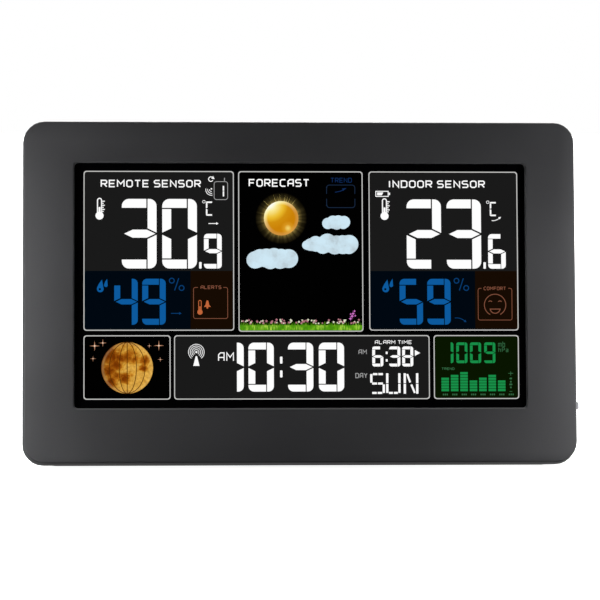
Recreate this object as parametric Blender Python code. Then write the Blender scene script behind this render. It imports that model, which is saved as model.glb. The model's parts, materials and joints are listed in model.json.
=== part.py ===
"""Home weather station: a desk display leaning back on a fold-out stand, built from its separate pieces.

All sizes are in millimetres and the helpers turn them into metres. The pieces are modelled upright in
the case's own frame: X to the right seen from the front, Y from the front face to the back, and Z up
from the case's bottom edge. The empty "station" then leans the whole case back and stands it on Z = 0.
"""

import math

import bmesh
import bpy
from mathutils import Vector

MM = 0.001
SAME = 1e-9  # lengths in metres closer than this are equal

# Driving dimensions of the case
CASE_W, CASE_H, CASE_D = 205.3, 127.4, 25.0
BEZEL_R, COVER_R = 7.6, 12.0  # corners of the front bezel and of the rear cover
BEZEL_DRAFT = 0.65  # the bezel narrows by this on each side towards its face
FACE_EDGE = 0.6  # rounding of the bezel's front rim
WALL = 2.0
FACE_WALL = 1.6  # the bezel's front wall
SEAM_Y = 9.0  # where the bezel meets the rear cover
LEAN = math.radians(12.0)
REST_Y = 14.0  # behind this the underside is planed level with the desk
GAP = 0.3  # between pieces that touch
STACK_GAP = 0.1  # between the flat layers of the display

# Display
WINDOW_W, WINDOW_H, WINDOW_R = 167.0, 90.7, 1.5
WINDOW_Z = 66.1  # height of the window's centre
WINDOW_CHAMFER = 0.55
GLASS_W, GLASS_H = 170.0, 94.0
LEDGE = 3.0  # the front glass stands this far past the rear glass, for its contacts
FRAME_W, FRAME_H, FRAME_BACK = 184.0, 107.0, 1.2
ZEBRA_W = 152.0  # the two rubber strips that carry the glass's contacts to the board

# Main board
BOARD_X = 96.0
BOARD_Z = (13.0, 115.6)
BOARD_FRONT, BOARD_BACK = 9.2, 10.4
PARTS_Y = BOARD_BACK + STACK_GAP  # components on the back of the board start here

# Case screws
SCREW_X = 96.0
SCREW_Z = (8.5, 119.6)
POST_R = 3.0
POST_SPLIT_Y = 12.6
SCREW_SEAT_Y = 16.0

# Battery bay, three cells lying along X
CELL_R, CELL_L, CELL_PITCH = 5.25, 44.5, 11.8
BAY_X = (-91.0, -39.0)
BAY_Z = (44.0, 44.0 + 3 * CELL_PITCH)
BAY_FLOOR_Y = 12.4
POCKET_WALL = 1.5  # wall of the bay and of the stand's recess
CELL_Y = BAY_FLOOR_Y + GAP + CELL_R
DOOR_Y = 23.6  # inside face of the battery door
DOOR_LAP = 1.5  # how far the door reaches past the bay
HINGE_Y, HINGE_Z = 24.3, BAY_Z[0] - 0.7  # the door turns on its lower edge
TAB_W = 6.0  # the two tabs that hook the door's lower edge

# Stand
STAND_W, STAND_L, STAND_T = 66.0, 42.0, 2.6
STAND_Y, STAND_Z = 23.0, 6.2  # its hinge axis
KNUCKLE_R, PIN_R = 2.0, 1.0
RECESS_Y = 20.4
STAND_PAD_R, STAND_PAD_RISE, STAND_PAD_Z = 1.3, 0.9, 39.8
PAD_W = 50.0
FOOT_PROUD, FOOT_X, FOOT_Y, FOOT_W = 0.4, 80.0, (16.0, 21.5), 20.0

# Keys
KEY_X, KEY_Z, KEY_PITCH, KEY_COUNT = 80.0, 48.0, 12.0, 6
KEY_W, KEY_H, KEY_PROUD = 10.0, 6.0, 0.8
FLANGE = 1.2  # a key's flange reaches this far past it on every side, inside the case
KEY_FLANGE_Y = (21.4, 22.4)
SNOOZE_Y, SNOOZE_W, SNOOZE_PROUD = (13.0, 19.0), 48.0, 0.8
SNOOZE_TOP = CASE_H - WALL - 0.9  # top of its flange, under the case wall
SWITCH_Y, SWITCH_Z, SWITCH_PROUD, SWITCH_TRAVEL = 11.5, 21.9, 1.7, 2.0
JACK_Y, JACK_Z, JACK_R = 13.8, 37.9, 2.6

# Hanging keyhole and openings in the rear cover
KEYHOLE_Z, KEYHOLE_R, KEYHOLE_SLOT_R, KEYHOLE_RISE = 96.0, 4.0, 2.1, 8.0
VENT_X, VENT_Z, VENT_PITCH, VENT_COUNT = (28.0, 60.0), 88.0, 3.4, 7
GRILLE_X, GRILLE_Z, GRILLE_COUNT = (-78.0, -56.0), 96.0, 4

# Where the leaning case stands: its planed underside is level, just above the desk
CASE_RISE = REST_Y * math.sin(LEAN) + FOOT_PROUD
STAND_RISE = STAND_Z * math.cos(LEAN) - STAND_Y * math.sin(LEAN) + CASE_RISE
PAD_REACH = math.hypot(STAND_PAD_Z, STAND_PAD_RISE)
STAND_OPEN = (
    math.acos((STAND_PAD_R - STAND_RISE) / PAD_REACH)
    - math.atan2(STAND_PAD_RISE, STAND_PAD_Z)
    - LEAN
)
STAND_END_Y = STAND_Y * math.cos(LEAN) + STAND_Z * math.sin(LEAN) + STAND_L * math.sin(STAND_OPEN + LEAN)
CASE_SHIFT = -STAND_END_Y / 2


def clear_scene():
    for obj in list(bpy.data.objects):
        bpy.data.objects.remove(obj)


def collection(name):
    made = bpy.data.collections.new(name)
    bpy.context.scene.collection.children.link(made)
    return made


clear_scene()
PARTS = collection("weather_station")
CUTTERS = collection("cutters")
CUTTERS.hide_render = True


def empty(name, location=(0, 0, 0), parent=None):
    obj = bpy.data.objects.new(name, None)
    obj.empty_display_size = 0.02
    obj.location = Vector(location) * MM
    obj.parent = parent
    PARTS.objects.link(obj)
    return obj


STATION = empty("station", (0, CASE_SHIFT, CASE_RISE))
STATION.rotation_euler.x = -LEAN


def material(name, colour, roughness=0.5, metallic=0.0):
    mat = bpy.data.materials.get(name) or bpy.data.materials.new(name)
    mat.use_nodes = True
    shader = mat.node_tree.nodes["Principled BSDF"]
    shader.inputs["Base Color"].default_value = (*colour, 1.0)
    shader.inputs["Roughness"].default_value = roughness
    shader.inputs["Metallic"].default_value = metallic
    return mat


CHARCOAL = material("charcoal_abs", (0.035, 0.035, 0.037), 0.45)
KEY_GREY = material("key_abs", (0.05, 0.05, 0.052), 0.4)
CLEAR = material("clear_acrylic", (0.9, 0.92, 0.93), 0.05)
GLASS = material("display_glass", (0.02, 0.02, 0.022), 0.08)
WHITE = material("white_abs", (0.85, 0.85, 0.83), 0.5)
FILM = material("colour_film", (0.3, 0.35, 0.6), 0.3)
SILVER = material("reflector_foil", (0.85, 0.86, 0.88), 0.2, 0.6)
RUBBER = material("black_rubber", (0.02, 0.02, 0.02), 0.85)
ZEBRA = material("zebra_rubber", (0.12, 0.1, 0.25), 0.8)
GREEN = material("circuit_board", (0.02, 0.16, 0.06), 0.45)
EPOXY = material("black_epoxy", (0.012, 0.012, 0.012), 0.35)
STEEL = material("plated_steel", (0.7, 0.7, 0.68), 0.3, 1.0)
COPPER = material("copper_wire", (0.72, 0.4, 0.22), 0.35, 1.0)
CELL = material("cell_jacket", (0.1, 0.22, 0.45), 0.35)


def finish(obj, mat=None, cutter=False, parent=STATION):
    """Names the object's material, puts it in its collection and parents it."""
    if cutter:
        CUTTERS.objects.link(obj)
        obj.hide_render = True
        obj.display_type = "WIRE"
    else:
        PARTS.objects.link(obj)
        obj.data.materials.append(mat)
    obj.parent = parent
    return obj


def from_bmesh(name, bm):
    mesh = bpy.data.meshes.new(name)
    bm.normal_update()
    bmesh.ops.recalc_face_normals(bm, faces=bm.faces)
    bm.to_mesh(mesh)
    bm.free()
    mesh.shade_smooth()
    mesh.set_sharp_from_angle(angle=math.radians(30))
    return bpy.data.objects.new(name, mesh)


def runs_along(edge, across):
    """Whether an edge keeps the same place on the given axes."""
    step = edge.verts[0].co - edge.verts[1].co
    return all(abs(step[i]) < SAME for i in across)


def slab(name, x, y, z, mat=None, radius=0.0, along=1, front=0.0, back=0.0, steps=6, flare=0.0, **kind):
    """A box between the given limits. The four edges along one axis are rounded by radius, and the rims
    at its low and high ends by front and back. Flare widens the piece steadily towards its low end."""
    limits = (x, y, z)
    bm = bmesh.new()
    bmesh.ops.create_cube(bm, size=1.0)
    for v in bm.verts:
        v.co = Vector([(lo + hi) / 2 + c * (hi - lo) for c, (lo, hi) in zip(v.co, limits)]) * MM
    across = [i for i in range(3) if i != along]
    if radius:
        edges = [e for e in bm.edges if runs_along(e, across)]
        bmesh.ops.bevel(
            bm, geom=edges, offset=radius * MM, segments=steps, profile=0.5, affect="EDGES"
        )
    for end, size in ((limits[along][0], front), (limits[along][1], back)):
        if size:
            rim = [e for e in bm.edges if all(abs(v.co[along] - end * MM) < SAME for v in e.verts)]
            bmesh.ops.bevel(
                bm, geom=rim, offset=size * MM, segments=3, profile=0.5, affect="EDGES"
            )
    if flare:
        middle = [(lo + hi) / 2 * MM for lo, hi in limits]
        low, high = limits[along]
        for v in bm.verts:
            share = (high * MM - v.co[along]) / ((high - low) * MM)
            for i in across:
                v.co[i] += flare * share * MM * math.copysign(1, v.co[i] - middle[i])
    return finish(from_bmesh(name, bm), mat, **kind)


def rod(name, centre, radius, length, along, mat=None, sides=24, bevel=0.0, **kind):
    """A cylinder centred on a point and lying along axis 0, 1 or 2."""
    bm = bmesh.new()
    bmesh.ops.create_cone(
        bm,
        cap_ends=True,
        segments=sides,
        radius1=radius * MM,
        radius2=radius * MM,
        depth=length * MM,
    )
    if bevel:
        rims = [e for e in bm.edges if runs_along(e, (2,))]
        bmesh.ops.bevel(
            bm, geom=rims, offset=bevel * MM, segments=2, profile=0.5, affect="EDGES"
        )
    turned = {0: (2, 0, 1), 1: (1, 2, 0), 2: (0, 1, 2)}[along]
    for v in bm.verts:
        v.co = Vector([v.co[i] for i in turned]) + Vector(centre) * MM
    return finish(from_bmesh(name, bm), mat, **kind)


def wire(name, points, radius, mat, sides=2, parent=STATION):
    """A round wire along a polyline."""
    curve = bpy.data.curves.new(name, "CURVE")
    curve.dimensions = "3D"
    curve.bevel_depth = radius * MM
    curve.bevel_resolution = sides
    curve.use_fill_caps = True
    spline = curve.splines.new("POLY")
    spline.points.add(len(points) - 1)
    for point, place in zip(spline.points, points):
        point.co = (*(Vector(place) * MM), 1.0)
    return finish(bpy.data.objects.new(name, curve), mat, parent=parent)


def boolean(target, others, operation):
    for other in others:
        modifier = target.modifiers.new(f"{operation.lower()} {other.name}", "BOOLEAN")
        modifier.operation = operation
        modifier.object = other
        modifier.solver = "EXACT"


def cut(target, *cutters):
    boolean(target, cutters, "DIFFERENCE")


def join(target, *pieces):
    boolean(target, pieces, "UNION")


def around(middle, width):
    return (middle - width / 2, middle + width / 2)


def build_bezel():
    """The front frame: a tray with a bevelled window and four screw posts."""
    bezel = slab(
        "front_bezel",
        around(0, CASE_W),
        (0, SEAM_Y),
        (0, CASE_H),
        CHARCOAL,
        radius=BEZEL_R,
        front=FACE_EDGE,
        flare=-BEZEL_DRAFT,
    )
    inside = slab(
        "cut_bezel_inside",
        around(0, CASE_W - 2 * WALL),
        (FACE_WALL, SEAM_Y + 1),
        (WALL, CASE_H - WALL),
        radius=BEZEL_R - WALL,
        flare=-BEZEL_DRAFT,
        cutter=True,
    )
    window = {"x": around(0, WINDOW_W), "z": around(WINDOW_Z, WINDOW_H), "radius": WINDOW_R, "steps": 3}
    through = slab("cut_window", y=(-1, FACE_WALL + 1), cutter=True, **window)
    bevel = slab(
        "cut_window_bevel", y=(-0.5, WINDOW_CHAMFER), flare=0.5 + WINDOW_CHAMFER, cutter=True, **window
    )
    cut(bezel, inside, through, bevel)
    for number, (x, z) in enumerate(screw_places(), start=1):
        length = POST_SPLIT_Y - GAP / 2 - FACE_WALL + 0.5
        middle = (x, FACE_WALL - 0.5 + length / 2, z)
        join(bezel, rod(f"post_front_{number}", middle, POST_R, length, 1, cutter=True))
        cut(bezel, rod(f"cut_pilot_{number}", (x, 9.5, z), 1.3, 12.0, 1, cutter=True, sides=16))


def screw_places():
    return [(x, z) for z in SCREW_Z for x in (-SCREW_X, SCREW_X)]


def build_display():
    """The layered display, its lit back and the frame that clips them to the bezel."""
    y = FACE_WALL + GAP
    view_w, view_h = WINDOW_W + 2, WINDOW_H + 2
    layers = (
        ("lcd_polariser", 0.2, view_w, view_h, GLASS),
        ("lcd_front_glass", 0.5, GLASS_W, GLASS_H + 2 * LEDGE, GLASS),
        ("lcd_rear_glass", 0.5, GLASS_W, GLASS_H, GLASS),
        ("colour_film", 0.2, view_w, view_h, FILM),
        ("diffuser_sheet", 0.2, view_w, view_h, WHITE),
        ("light_guide", 1.8, view_w, view_h, CLEAR),
        ("reflector_sheet", 0.2, view_w, view_h, SILVER),
    )
    for name, thick, width, height, mat in layers:
        slab(name, around(0, width), (y, y + thick), around(WINDOW_Z, height), mat)
        y += thick + STACK_GAP
    frame = slab(
        "display_frame",
        around(0, FRAME_W),
        (FACE_WALL + GAP, y + FRAME_BACK),
        around(WINDOW_Z, FRAME_H),
        WHITE,
        radius=2.0,
        steps=2,
    )
    room_h = GLASS_H + 2 * LEDGE + 2 * GAP
    glass_room = slab(
        "cut_glass_room", around(0, GLASS_W + 6), (0, y), around(WINDOW_Z, room_h), cutter=True
    )
    board_window = slab(
        "cut_frame_back", around(0, view_w - 14), (0, 12), around(WINDOW_Z, view_h - 14), cutter=True
    )
    cut(frame, glass_room, board_window)
    # the strips run from the back of the front glass to the board
    zebra_y = (FACE_WALL + GAP + layers[0][1] + layers[1][1] + 2 * STACK_GAP, BOARD_FRONT - STACK_GAP)
    for side, way in (("lower", -1), ("upper", 1)):
        middle = WINDOW_Z + way * (GLASS_H / 2 + LEDGE / 2)
        room = slab(
            f"cut_zebra_{side}",
            around(0, ZEBRA_W + 2 * GAP),
            (5, 12),
            around(middle, 1.8 + 2 * GAP),
            cutter=True,
        )
        cut(frame, room)
        slab(f"zebra_strip_{side}", around(0, ZEBRA_W), zebra_y, around(middle, 1.8), ZEBRA)
    edge = view_w / 2 + GAP
    slab("backlight_strip", (edge, edge + 1.2), (4.0, 5.6), around(WINDOW_Z, 84), GREEN)


def build_board():
    """The main board and what is soldered on its back."""
    slab("main_board", around(0, 2 * BOARD_X), (BOARD_FRONT, BOARD_BACK), BOARD_Z, GREEN)
    slab("chip_blob", (8, 22), (PARTS_Y, 12.2), (62, 76), EPOXY, radius=5.0, back=0.6)
    slab("radio_module", (44, 62), (PARTS_Y, 13.2), (16, 30), GREEN)
    rod("radio_antenna", (51, 14.8, 56), 3.4, 30, 2, COPPER, sides=20)
    slab("clock_crystal", (30, 38), (PARTS_Y, 12.6), (70, 73), STEEL, radius=1.0, along=0)
    for number, x in enumerate((-20, -8), start=1):
        rod(f"capacitor_{number}", (x, PARTS_Y + 3.5, 80), 2.5, 7, 1, EPOXY, sides=20, bevel=0.3)
    rod("buzzer", (-67, PARTS_Y + 3.5, 101), 8, 7, 1, EPOXY, sides=28, bevel=0.4)
    slab("pressure_sensor", (36, 41), (PARTS_Y, 12.0), (88, 93), STEEL)
    slab("humidity_sensor", (46, 54), (PARTS_Y, 14.5), (96, 106), WHITE, radius=0.6)


def tact_switch(name, x, z):
    body = slab(name, around(x, 6), (PARTS_Y, 14.0), around(z, 6), EPOXY)
    join(body, rod(f"plunger_{name}", (x, 14.0, z), 1.6, 2.0, 1, cutter=True, sides=16))


def build_keys():
    """Six push keys on the back, the snooze bar on top, and the switches they press."""
    for number in range(1, KEY_COUNT + 1):
        z = KEY_Z + (number - 1) * KEY_PITCH
        tact_switch(f"key_switch_{number}", KEY_X, z)
        key = slab(
            f"key_{number}",
            around(KEY_X, KEY_W),
            (21.8, CASE_D + KEY_PROUD),
            around(z, KEY_H),
            KEY_GREY,
            radius=2.6,
            back=0.5,
            steps=4,
        )
        flange = slab(
            f"key_flange_{number}",
            around(KEY_X, KEY_W + 2 * FLANGE),
            KEY_FLANGE_Y,
            around(z, KEY_H + 2 * FLANGE),
            cutter=True,
        )
        stem = slab(f"key_stem_{number}", around(KEY_X, 2.6), (16.1, 22.0), around(z, 2.6), cutter=True)
        join(key, flange, stem)
    bar = slab(
        "snooze_bar",
        around(0, SNOOZE_W),
        SNOOZE_Y,
        (SNOOZE_TOP - 0.4, CASE_H + SNOOZE_PROUD),
        KEY_GREY,
        radius=2.6,
        along=2,
        back=0.5,
        steps=4,
    )
    flange = slab(
        "snooze_flange",
        around(0, SNOOZE_W + 2 * FLANGE),
        (SNOOZE_Y[0] - FLANGE, SNOOZE_Y[1] + FLANGE),
        (SNOOZE_TOP - 1, SNOOZE_TOP),
        cutter=True,
    )
    stem = slab("snooze_stem", around(0, 2.6), (12.0, 13.8), (116.4, SNOOZE_TOP - 0.5), cutter=True)
    join(bar, flange, stem)
    body = slab("snooze_switch", around(0, 6), (PARTS_Y, 14.5), (108, 114), EPOXY)
    join(body, slab("plunger_snooze", around(0, 2), (11.7, 13.3), (113, 115.2), cutter=True))


def build_side_fittings():
    """The slide switch and the power socket, both reached through the right-hand wall."""
    slab("slide_switch", (89, 95.3), (PARTS_Y, 13.5), around(SWITCH_Z, 12.4), STEEL)
    right = CASE_W / 2
    slab(
        "slide_knob",
        (95.6, right + SWITCH_PROUD),
        around(SWITCH_Y, 2.0),
        around(SWITCH_Z, 2.6),
        KEY_GREY,
        radius=0.4,
        along=0,
        back=0.3,
        steps=2,
    )
    jack = slab("power_socket", (88.1, 100.1), (PARTS_Y, 17.1), around(JACK_Z, 9), EPOXY)
    cut(jack, rod("cut_socket_bore", (96.1, JACK_Y, JACK_Z), JACK_R, 12, 0, cutter=True))
    join(jack, rod("socket_pin", (93.6, JACK_Y, JACK_Z), 0.7, 9, 0, cutter=True, sides=12))


def build_cover():
    """The rear shell, with its bay, recess, screw wells and openings."""
    half_w = CASE_W / 2
    cover = slab(
        "rear_cover",
        (-half_w, half_w),
        (SEAM_Y + GAP, CASE_D),
        (0, CASE_H),
        CHARCOAL,
        radius=COVER_R,
        back=2.0,
    )
    hollow = slab(
        "cut_cover_inside",
        (-half_w + WALL, half_w - WALL),
        (SEAM_Y - 1, CASE_D - WALL),
        (WALL, CASE_H - WALL),
        radius=COVER_R - WALL,
        cutter=True,
    )
    cut(cover, hollow)
    # solid blocks behind the pockets that are cut next
    floor = slab("block_floor", (-90, 90), (REST_Y - 1, CASE_D - 1), (1, 4.6), cutter=True)
    bay = slab(
        "block_bay",
        (BAY_X[0] - POCKET_WALL, BAY_X[1] + POCKET_WALL),
        (BAY_FLOOR_Y - POCKET_WALL, CASE_D - 1),
        (BAY_Z[0] - 2.6, BAY_Z[1] + POCKET_WALL),
        cutter=True,
    )
    recess_top = STAND_Z + STAND_L + 1.2
    recess = slab(
        "block_recess",
        around(0, STAND_W + 12),
        (RECESS_Y - POCKET_WALL, CASE_D - 1),
        (1, recess_top + POCKET_WALL),
        cutter=True,
    )
    join(cover, floor, bay, recess)
    for number, (x, z) in enumerate(screw_places(), start=1):
        start = POST_SPLIT_Y + GAP / 2
        length = CASE_D - 1 - start
        middle = (x, start + length / 2, z)
        join(cover, rod(f"post_rear_{number}", middle, POST_R + 0.6, length, 1, cutter=True))
        cut(
            cover,
            rod(f"cut_screw_hole_{number}", (x, 18, z), 1.3, 20, 1, cutter=True, sides=16),
            rod(f"cut_screw_well_{number}", (x, SCREW_SEAT_Y + 6, z), 2.6, 12, 1, cutter=True),
        )
    cut_battery_bay(cover)
    cut_stand_recess(cover, recess_top)
    cut_openings(cover)


def cut_battery_bay(cover):
    room = slab("cut_bay", BAY_X, (BAY_FLOOR_Y, CASE_D + 1), BAY_Z, cutter=True)
    lap = slab(
        "cut_bay_lap",
        (BAY_X[0] - DOOR_LAP - GAP, BAY_X[1] + DOOR_LAP + GAP),
        (DOOR_Y - GAP, CASE_D + 1),
        (HINGE_Z - 1.0, BAY_Z[1] + DOOR_LAP + GAP),
        cutter=True,
    )
    cut(cover, room, lap)
    for side, x in door_tabs():
        slot = slab(
            f"cut_tab_{side}",
            around(x, TAB_W + 2 * GAP),
            (20.5, DOOR_Y),
            (HINGE_Z - 2.4, BAY_Z[0] + 1),
            cutter=True,
        )
        cut(cover, slot)


def door_tabs():
    middle = sum(BAY_X) / 2
    return (("left", middle - 15), ("right", middle + 15))


def cut_stand_recess(cover, top):
    bottom = STAND_Z - KNUCKLE_R - GAP
    room = slab(
        "cut_recess", around(0, STAND_W + 0.8), (RECESS_Y, CASE_D + 1), (bottom, top), cutter=True
    )
    finger = slab(
        "cut_finger_notch",
        around(0, 18),
        (RECESS_Y, CASE_D + 1),
        (top - 4, top + 5),
        radius=4.0,
        cutter=True,
    )
    axle = rod("cut_axle", (0, STAND_Y, STAND_Z), PIN_R + GAP, STAND_W + 9, 0, cutter=True, sides=16)
    cut(cover, room, axle)
    behind = slab(
        "block_finger",
        around(0, 22),
        (RECESS_Y - POCKET_WALL, CASE_D - 1),
        (top, top + 7),
        cutter=True,
    )
    join(cover, behind)
    cut(cover, finger)


def cut_openings(cover):
    for number in range(1, KEY_COUNT + 1):
        z = KEY_Z + (number - 1) * KEY_PITCH
        opening = slab(
            f"cut_key_{number}",
            around(KEY_X, KEY_W + 2 * GAP),
            (20, CASE_D + 1),
            around(z, KEY_H + 2 * GAP),
            radius=2.8,
            steps=4,
            cutter=True,
        )
        cut(cover, opening)
    cut(
        cover,
        slab(
            "cut_snooze",
            around(0, SNOOZE_W + 2 * GAP),
            (SNOOZE_Y[0] - GAP, SNOOZE_Y[1] + GAP),
            (CASE_H - WALL - 1, CASE_H + 1),
            radius=2.8,
            along=2,
            steps=4,
            cutter=True,
        ),
        slab("cut_switch", (97, 105), around(SWITCH_Y, 2.6), around(SWITCH_Z, 8.4), cutter=True),
        rod("cut_socket", (101, JACK_Y, JACK_Z), JACK_R + 0.6, 6, 0, cutter=True),
        rod("cut_keyhole", (0, CASE_D, KEYHOLE_Z), KEYHOLE_R, 8, 1, cutter=True),
        slab(
            "cut_keyhole_slot",
            around(0, 2 * KEYHOLE_SLOT_R),
            (CASE_D - 4, CASE_D + 1),
            (KEYHOLE_Z, KEYHOLE_Z + KEYHOLE_RISE + KEYHOLE_SLOT_R),
            radius=KEYHOLE_SLOT_R - 0.05,
            steps=5,
            cutter=True,
        ),
    )
    rows = [("vent", VENT_X, VENT_Z, VENT_COUNT), ("grille", GRILLE_X, GRILLE_Z, GRILLE_COUNT)]
    for name, x, lowest, count in rows:
        for number in range(count):
            z = lowest + number * VENT_PITCH
            slot = slab(
                f"cut_{name}_{number + 1}",
                x,
                (20, CASE_D + 2),
                around(z, 1.6),
                radius=0.75,
                steps=3,
                cutter=True,
            )
            cut(cover, slot)
    # the underside is planed level with the desk, and the two feet are let into it
    plane = slab(
        "cut_underside",
        (-120, 120),
        (CASE_SHIFT - 20, CASE_SHIFT + 60),
        (-20, FOOT_PROUD),
        cutter=True,
        parent=None,
    )
    cut(cover, plane)
    y = [CASE_SHIFT + edge * math.cos(LEAN) for edge in FOOT_Y]
    for side, x in (("left", -FOOT_X), ("right", FOOT_X)):
        pocket = slab(
            f"cut_foot_{side}",
            around(x, FOOT_W + 2 * GAP),
            (y[0] - GAP, y[1] + GAP),
            (-1, 1.3),
            radius=2.3,
            along=2,
            cutter=True,
            parent=None,
        )
        cut(cover, pocket)
        slab(
            f"foot_{side}",
            around(x, FOOT_W),
            y,
            (0, 1.0),
            RUBBER,
            radius=2.0,
            along=2,
            front=0.2,
            parent=None,
        )


def build_power():
    """Three cells head to tail, their springs and contacts, and the hinged door."""
    for number in range(1, 4):
        z = BAY_Z[0] + (number - 0.5) * CELL_PITCH
        way = 1 if number % 2 else -1
        middle = (BAY_X[0] + BAY_X[1]) / 2
        centre_x = middle + way * 1.5
        cell = rod(
            f"battery_cell_{number}",
            (centre_x - way * 0.5, CELL_Y, z),
            CELL_R,
            CELL_L - 1,
            0,
            CELL,
            sides=28,
            bevel=0.5,
        )
        nub_x = centre_x + way * (CELL_L / 2 - 0.75)
        join(cell, rod(f"cell_nub_{number}", (nub_x, CELL_Y, z), 1.9, 1.5, 0, cutter=True, sides=16))
        flat_end = centre_x - way * CELL_L / 2
        spring_from = BAY_X[0] + 0.9 if way > 0 else BAY_X[1] - 0.9
        turns, steps = 3, 12
        points = []
        for step in range(turns * steps + 1):
            part = step / (turns * steps)
            angle = 2 * math.pi * turns * part
            reach = 3.6 - 1.4 * part
            along = spring_from + (flat_end - way * 0.7 - spring_from) * part
            points.append((along, CELL_Y + reach * math.cos(angle), z + reach * math.sin(angle)))
        wire(f"battery_spring_{number}", points, 0.3, STEEL, sides=1)
        plate_x = BAY_X[1] - 0.35 if way > 0 else BAY_X[0] + 0.35
        slab(f"battery_contact_{number}", around(plate_x, 0.3), around(CELL_Y, 8), around(z, 8), STEEL)


def build_door():
    pivot = empty("door_pivot", (0, HINGE_Y, HINGE_Z), STATION)
    x = (BAY_X[0] - DOOR_LAP, BAY_X[1] + DOOR_LAP)
    top = BAY_Z[1] + DOOR_LAP - HINGE_Z
    inner, outer = DOOR_Y - HINGE_Y, CASE_D - HINGE_Y
    door = slab(
        "battery_door",
        x,
        (inner, outer),
        (-0.6, top),
        CHARCOAL,
        radius=0.6,
        along=0,
        steps=3,
        parent=pivot,
    )
    for side, tab_x in door_tabs():
        shape = {"x": around(tab_x, TAB_W), "cutter": True, "parent": pivot}
        tab = slab(f"tab_{side}", y=(inner - 1.6, inner + 0.4), z=(-0.5, 0.9), **shape)
        hook = slab(f"hook_{side}", y=(inner - 1.6, inner - 0.7), z=(-1.6, 0.0), **shape)
        join(door, tab, hook)
    grip = {"x": around(sum(BAY_X) / 2, 14), "y": (outer - 0.5, outer + 1)}
    for number in range(3):
        z = top - 4 - 2.2 * number
        cut(door, slab(f"cut_grip_{number + 1}", z=around(z, 1.0), cutter=True, parent=pivot, **grip))


def build_stand():
    """The fold-out stand, modelled folded and turned open on its pin by its pivot."""
    pivot = empty("stand_pivot", (0, STAND_Y, STAND_Z), STATION)
    pivot.rotation_euler.x = -STAND_OPEN
    stand = slab(
        "stand",
        around(0, STAND_W),
        around(0, STAND_T),
        (0, STAND_L),
        CHARCOAL,
        radius=0.8,
        along=0,
        steps=3,
        parent=pivot,
    )
    join(stand, rod("knuckle", (0, 0, 0), KNUCKLE_R, STAND_W, 0, cutter=True, parent=pivot))
    cut(
        stand,
        rod("cut_knuckle", (0, 0, 0), PIN_R + GAP, STAND_W + 4, 0, cutter=True, sides=16, parent=pivot),
        rod(
            "cut_pad_groove",
            (0, STAND_PAD_RISE, STAND_PAD_Z),
            STAND_PAD_R + GAP,
            PAD_W + 2 * GAP,
            0,
            cutter=True,
            sides=20,
            parent=pivot,
        ),
        slab("cut_window_stand", around(0, 40), (-3, 3), (9, 30), radius=4.0, cutter=True, parent=pivot),
    )
    place = (0, STAND_PAD_RISE, STAND_PAD_Z)
    rod("stand_foot_pad", place, STAND_PAD_R, PAD_W, 0, RUBBER, sides=20, bevel=0.3, parent=pivot)
    rod("stand_pin", (0, STAND_Y, STAND_Z), PIN_R, STAND_W + 8, 0, STEEL, sides=16)


def build_screws():
    for number, (x, z) in enumerate(screw_places(), start=1):
        head = SCREW_SEAT_Y + GAP
        screw = rod(f"case_screw_{number}", (x, head + 0.9, z), 2.3, 1.8, 1, STEEL, sides=20, bevel=0.3)
        join(screw, rod(f"shank_{number}", (x, head - 5.5, z), 1.0, 11.4, 1, cutter=True, sides=12))
        slot_y = (head + 1.0, head + 3)
        for turn, (wide, tall) in enumerate(((2.6, 0.6), (0.6, 2.6)), start=1):
            name = f"cut_cross_{number}_{turn}"
            cut(screw, slab(name, around(x, wide), slot_y, around(z, tall), cutter=True))


build_bezel()
build_display()
build_board()
build_keys()
build_side_fittings()
build_cover()
build_power()
build_door()
build_stand()
build_screws()
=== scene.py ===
"""Home weather station: the looks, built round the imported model.

Artwork on the display is laid out in millimetres in the display's own plane: U to the right and V up
from the middle of the window, and the height out of the glass towards the viewer.
"""

import json
import math
import random

import bmesh
import bpy
from mathutils import Matrix, Vector


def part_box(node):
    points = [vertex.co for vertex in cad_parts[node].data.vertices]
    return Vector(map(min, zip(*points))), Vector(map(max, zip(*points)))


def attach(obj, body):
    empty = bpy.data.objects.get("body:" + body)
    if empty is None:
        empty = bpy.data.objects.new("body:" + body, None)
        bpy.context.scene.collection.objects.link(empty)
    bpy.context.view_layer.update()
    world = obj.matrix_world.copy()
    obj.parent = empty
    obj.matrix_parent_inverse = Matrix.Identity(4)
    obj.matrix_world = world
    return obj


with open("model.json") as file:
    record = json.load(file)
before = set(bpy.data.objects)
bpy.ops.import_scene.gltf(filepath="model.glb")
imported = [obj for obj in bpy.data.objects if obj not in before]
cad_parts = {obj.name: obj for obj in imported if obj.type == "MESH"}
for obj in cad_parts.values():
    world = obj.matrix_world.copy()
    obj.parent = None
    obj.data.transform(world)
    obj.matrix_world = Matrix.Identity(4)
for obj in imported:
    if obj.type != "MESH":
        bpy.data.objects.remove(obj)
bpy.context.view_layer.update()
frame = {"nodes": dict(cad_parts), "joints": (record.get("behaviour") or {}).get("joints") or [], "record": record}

MM = 0.001
NODES = frame["nodes"]
JOINTS = {joint["name"]: joint for joint in frame["joints"]}

# Directions of the leaning case
RIGHT = Vector((1, 0, 0))
UP = Vector(JOINTS["side_switch_slide"]["axis"]).normalized()
FRONT = RIGHT.cross(UP)


def middle(node):
    low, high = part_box(node)
    return (low + high) / 2


def plane_at(origin):
    """The matrix of a plane facing the front, whose X is to the right and Y is up."""
    turned = Matrix((RIGHT, UP, FRONT)).transposed().to_4x4()
    return Matrix.Translation(origin) @ turned


def thickness(node):
    """How thick a flat CAD node is along the front direction."""
    along = [vertex.co.dot(FRONT) for vertex in NODES[node].data.vertices]
    return max(along) - min(along)


SCREEN = plane_at(middle("lcd_polariser") + FRONT * thickness("lcd_polariser") / 2)


# ---------------------------------------------------------------- materials

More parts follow.
